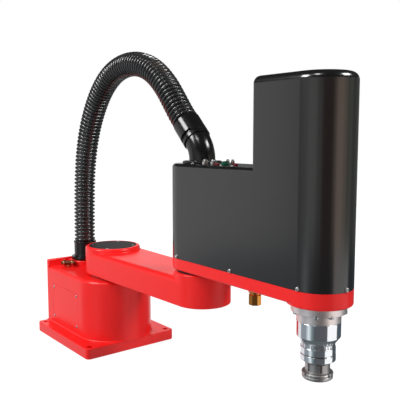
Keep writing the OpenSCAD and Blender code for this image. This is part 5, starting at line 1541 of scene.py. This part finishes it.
class ROBOT_OT_stage(bpy.types.Operator):
    """Makes the floor, the lights, the white surroundings and the camera"""

    bl_idname = "robot.stage"
    bl_label = "Stage"

    def execute(self, context):
        sizes = context.scene.robot_stage
        self.add_camera(context, sizes)
        wide = 9
        corners = [(-wide, -wide, 0), (wide, -wide, 0), (wide, wide, 0), (-wide, wide, 0)]
        floor = self.add_sheet("floor", corners, floor_finish())
        floor.visible_glossy = False
        for low, high, row in SCREEN_TIERS:
            for name, start, end, tone in row:
                self.add_screen(name, start, end, low, high, tone, sizes.screen_distance)
        half = sizes.screen_distance + 0.2
        for name, z, tone in (("screen_roof", SCREEN_TOP, (0.05, 0.05, 0.055)),
                              ("screen_under", SCREEN_FOOT, (0.1, 0.12, 0.125))):
            corners = [(TOOL_X - half, -half, z), (TOOL_X - half, half, z), (TOOL_X + half, half, z),
                       (TOOL_X + half, -half, z)]
            self.reflection_only(self.add_sheet(name, corners, screen_finish(name, tone)))
        self.add_lights(sizes)
        self.add_sky(context, sizes)
        context.scene.view_settings.view_transform = "Standard"
        return {"FINISHED"}

    def add_camera(self, context, sizes):
        data = bpy.data.cameras.new("photo_camera")
        data.lens = sizes.lens
        data.sensor_width = 36
        camera = bpy.data.objects.new("photo_camera", data)
        camera.location = sizes.camera_place
        dip, heading = sizes.camera_dip, sizes.camera_heading
        way = Vector((math.cos(dip) * math.cos(heading), math.cos(dip) * math.sin(heading), -math.sin(dip)))
        camera.rotation_euler = way.to_track_quat("-Z", "Y").to_euler()
        context.scene.collection.objects.link(camera)
        context.scene.camera = camera

    def add_sheet(self, name, corners, material):
        """A flat stage piece through four corners, or a bent one through rows of them."""
        mesh = bpy.data.meshes.new(name)
        count = len(corners) // 2
        faces = [(0, 1, 2, 3)]
        if count > 2:
            faces = [(i, i + 1, count + i + 1, count + i) for i in range(count - 1)]
        mesh.from_pydata(corners, [], faces)
        mesh.materials.append(material)
        sheet = bpy.data.objects.new(name, mesh)
        bpy.context.scene.collection.objects.link(sheet)
        return sheet

    def reflection_only(self, sheet):
        sheet.visible_camera = False
        sheet.visible_diffuse = False
        sheet.visible_shadow = False
        sheet.visible_transmission = False

    def add_screen(self, name, start, end, low, high, tone, distance):
        """An upright bent screen round the tool, seen only in reflections."""
        steps = 8
        bearings = arc(TOOL_X, 0, distance, start, end, steps)
        corners = [(x, y, low) for x, y in bearings] + [(x, y, high) for x, y in bearings]
        self.reflection_only(self.add_sheet(name, corners, screen_finish(name, tone)))

    def add_lamp(self, name, bearing, height, distance, size, power, mirrored=True):
        """A soft lamp that looks at the object's middle from a bearing and height in degrees."""
        middle = Vector((0.25, 0, 0.25))
        a, b = math.radians(bearing), math.radians(height)
        way = Vector((math.cos(b) * math.cos(a), math.cos(b) * math.sin(a), math.sin(b)))
        data = bpy.data.lights.new(name, "AREA")
        data.shape = "RECTANGLE"
        data.size, data.size_y = size
        data.energy = power
        lamp = bpy.data.objects.new(name, data)
        lamp.location = middle + way * distance
        lamp.rotation_euler = (-way).to_track_quat("-Z", "Y").to_euler()
        lamp.visible_camera = False
        lamp.visible_glossy = mirrored
        bpy.context.scene.collection.objects.link(lamp)

    def add_lights(self, sizes):
        # bearing and height in degrees, distance and size in metres
        self.add_lamp("left_softbox", -108, 38, 2.6, (1.0, 0.8), sizes.left_power)
        self.add_lamp("front_softbox", -62, 52, 2.4, (0.5, 0.3), sizes.front_power)
        self.add_lamp("right_softbox", 35, 40, 2.4, (0.8, 0.5), sizes.right_power)
        self.add_lamp("rear_softbox", 165, 45, 2.6, (1.2, 0.8), sizes.rear_power, mirrored=False)

    def add_sky(self, context, sizes):
        world = bpy.data.worlds.new("studio")
        context.scene.world = world
        world.use_nodes = True
        tree = world.node_tree
        sky = tree.nodes["Background"]
        sky.inputs["Color"].default_value = (1, 1, 1, 1)
        sky.inputs["Strength"].default_value = sizes.sky
        white = tree.nodes.new("ShaderNodeBackground")
        white.inputs["Color"].default_value = (1, 1, 1, 1)
        mix = tree.nodes.new("ShaderNodeMixShader")
        tree.links.new(seen_plainly(tree), mix.inputs[0])
        tree.links.new(sky.outputs[0], mix.inputs[1])
        tree.links.new(white.outputs[0], mix.inputs[2])
        tree.links.new(mix.outputs[0], tree.nodes["World Output"].inputs[0])


class ROBOT_OT_finish_nodes(bpy.types.Operator):
    """Gives every CAD node that still shows the finish of its material slot"""

    bl_idname = "robot.finish_nodes"
    bl_label = "CAD node finishes"

    def execute(self, context):
        for part in frame["record"]["subparts"]:
            node = frame["nodes"][part["node"]]
            if node.hide_render:
                continue
            node.data.materials.clear()
            node.data.materials.append(finish_of(part["material_slot"]))
        return {"FINISHED"}


STEPS = (
    ROBOT_OT_stage, ROBOT_OT_conduit, ROBOT_OT_base_body, ROBOT_OT_base_panels, ROBOT_OT_gland,
    ROBOT_OT_first_arm, ROBOT_OT_first_cap, ROBOT_OT_second_arm, ROBOT_OT_cover, ROBOT_OT_cover_screws,
    ROBOT_OT_elbow, ROBOT_OT_quill, ROBOT_OT_nut_rings, ROBOT_OT_tool_end, ROBOT_OT_top_fittings,
    ROBOT_OT_brass_fittings, ROBOT_OT_rear_connectors, ROBOT_OT_finish_nodes,
)


class ROBOT_PT_panel(bpy.types.Panel):
    """Lists the robot's pieces in the sidebar"""

    bl_idname = "ROBOT_PT_panel"
    bl_label = "Four-axis robot"
    bl_space_type = "VIEW_3D"
    bl_region_type = "UI"
    bl_category = "Robot"

    def draw(self, context):
        for step in STEPS:
            self.layout.operator(step.bl_idname)


GROUPS_OF_SIZES = {
    "robot_paint": RobotPaint, "robot_castings": RobotCastings, "robot_cover": RobotCover,
    "robot_conduit": RobotConduit, "robot_stage": RobotStage,
}


def register():
    for group in GROUPS_OF_SIZES.values():
        bpy.utils.register_class(group)
    for step in STEPS:
        bpy.utils.register_class(step)
    bpy.utils.register_class(ROBOT_PT_panel)
    for name, group in GROUPS_OF_SIZES.items():
        setattr(bpy.types.Scene, name, bpy.props.PointerProperty(type=group))


def unregister():
    for name in GROUPS_OF_SIZES:
        delattr(bpy.types.Scene, name)
    bpy.utils.unregister_class(ROBOT_PT_panel)
    for step in reversed(STEPS):
        bpy.utils.unregister_class(step)
    for group in GROUPS_OF_SIZES.values():
        bpy.utils.unregister_class(group)


def main():
    register()
    for step in STEPS:
        family, name = step.bl_idname.split(".")
        getattr(getattr(bpy.ops, family), name)()


if __name__ == "__main__":
    main()
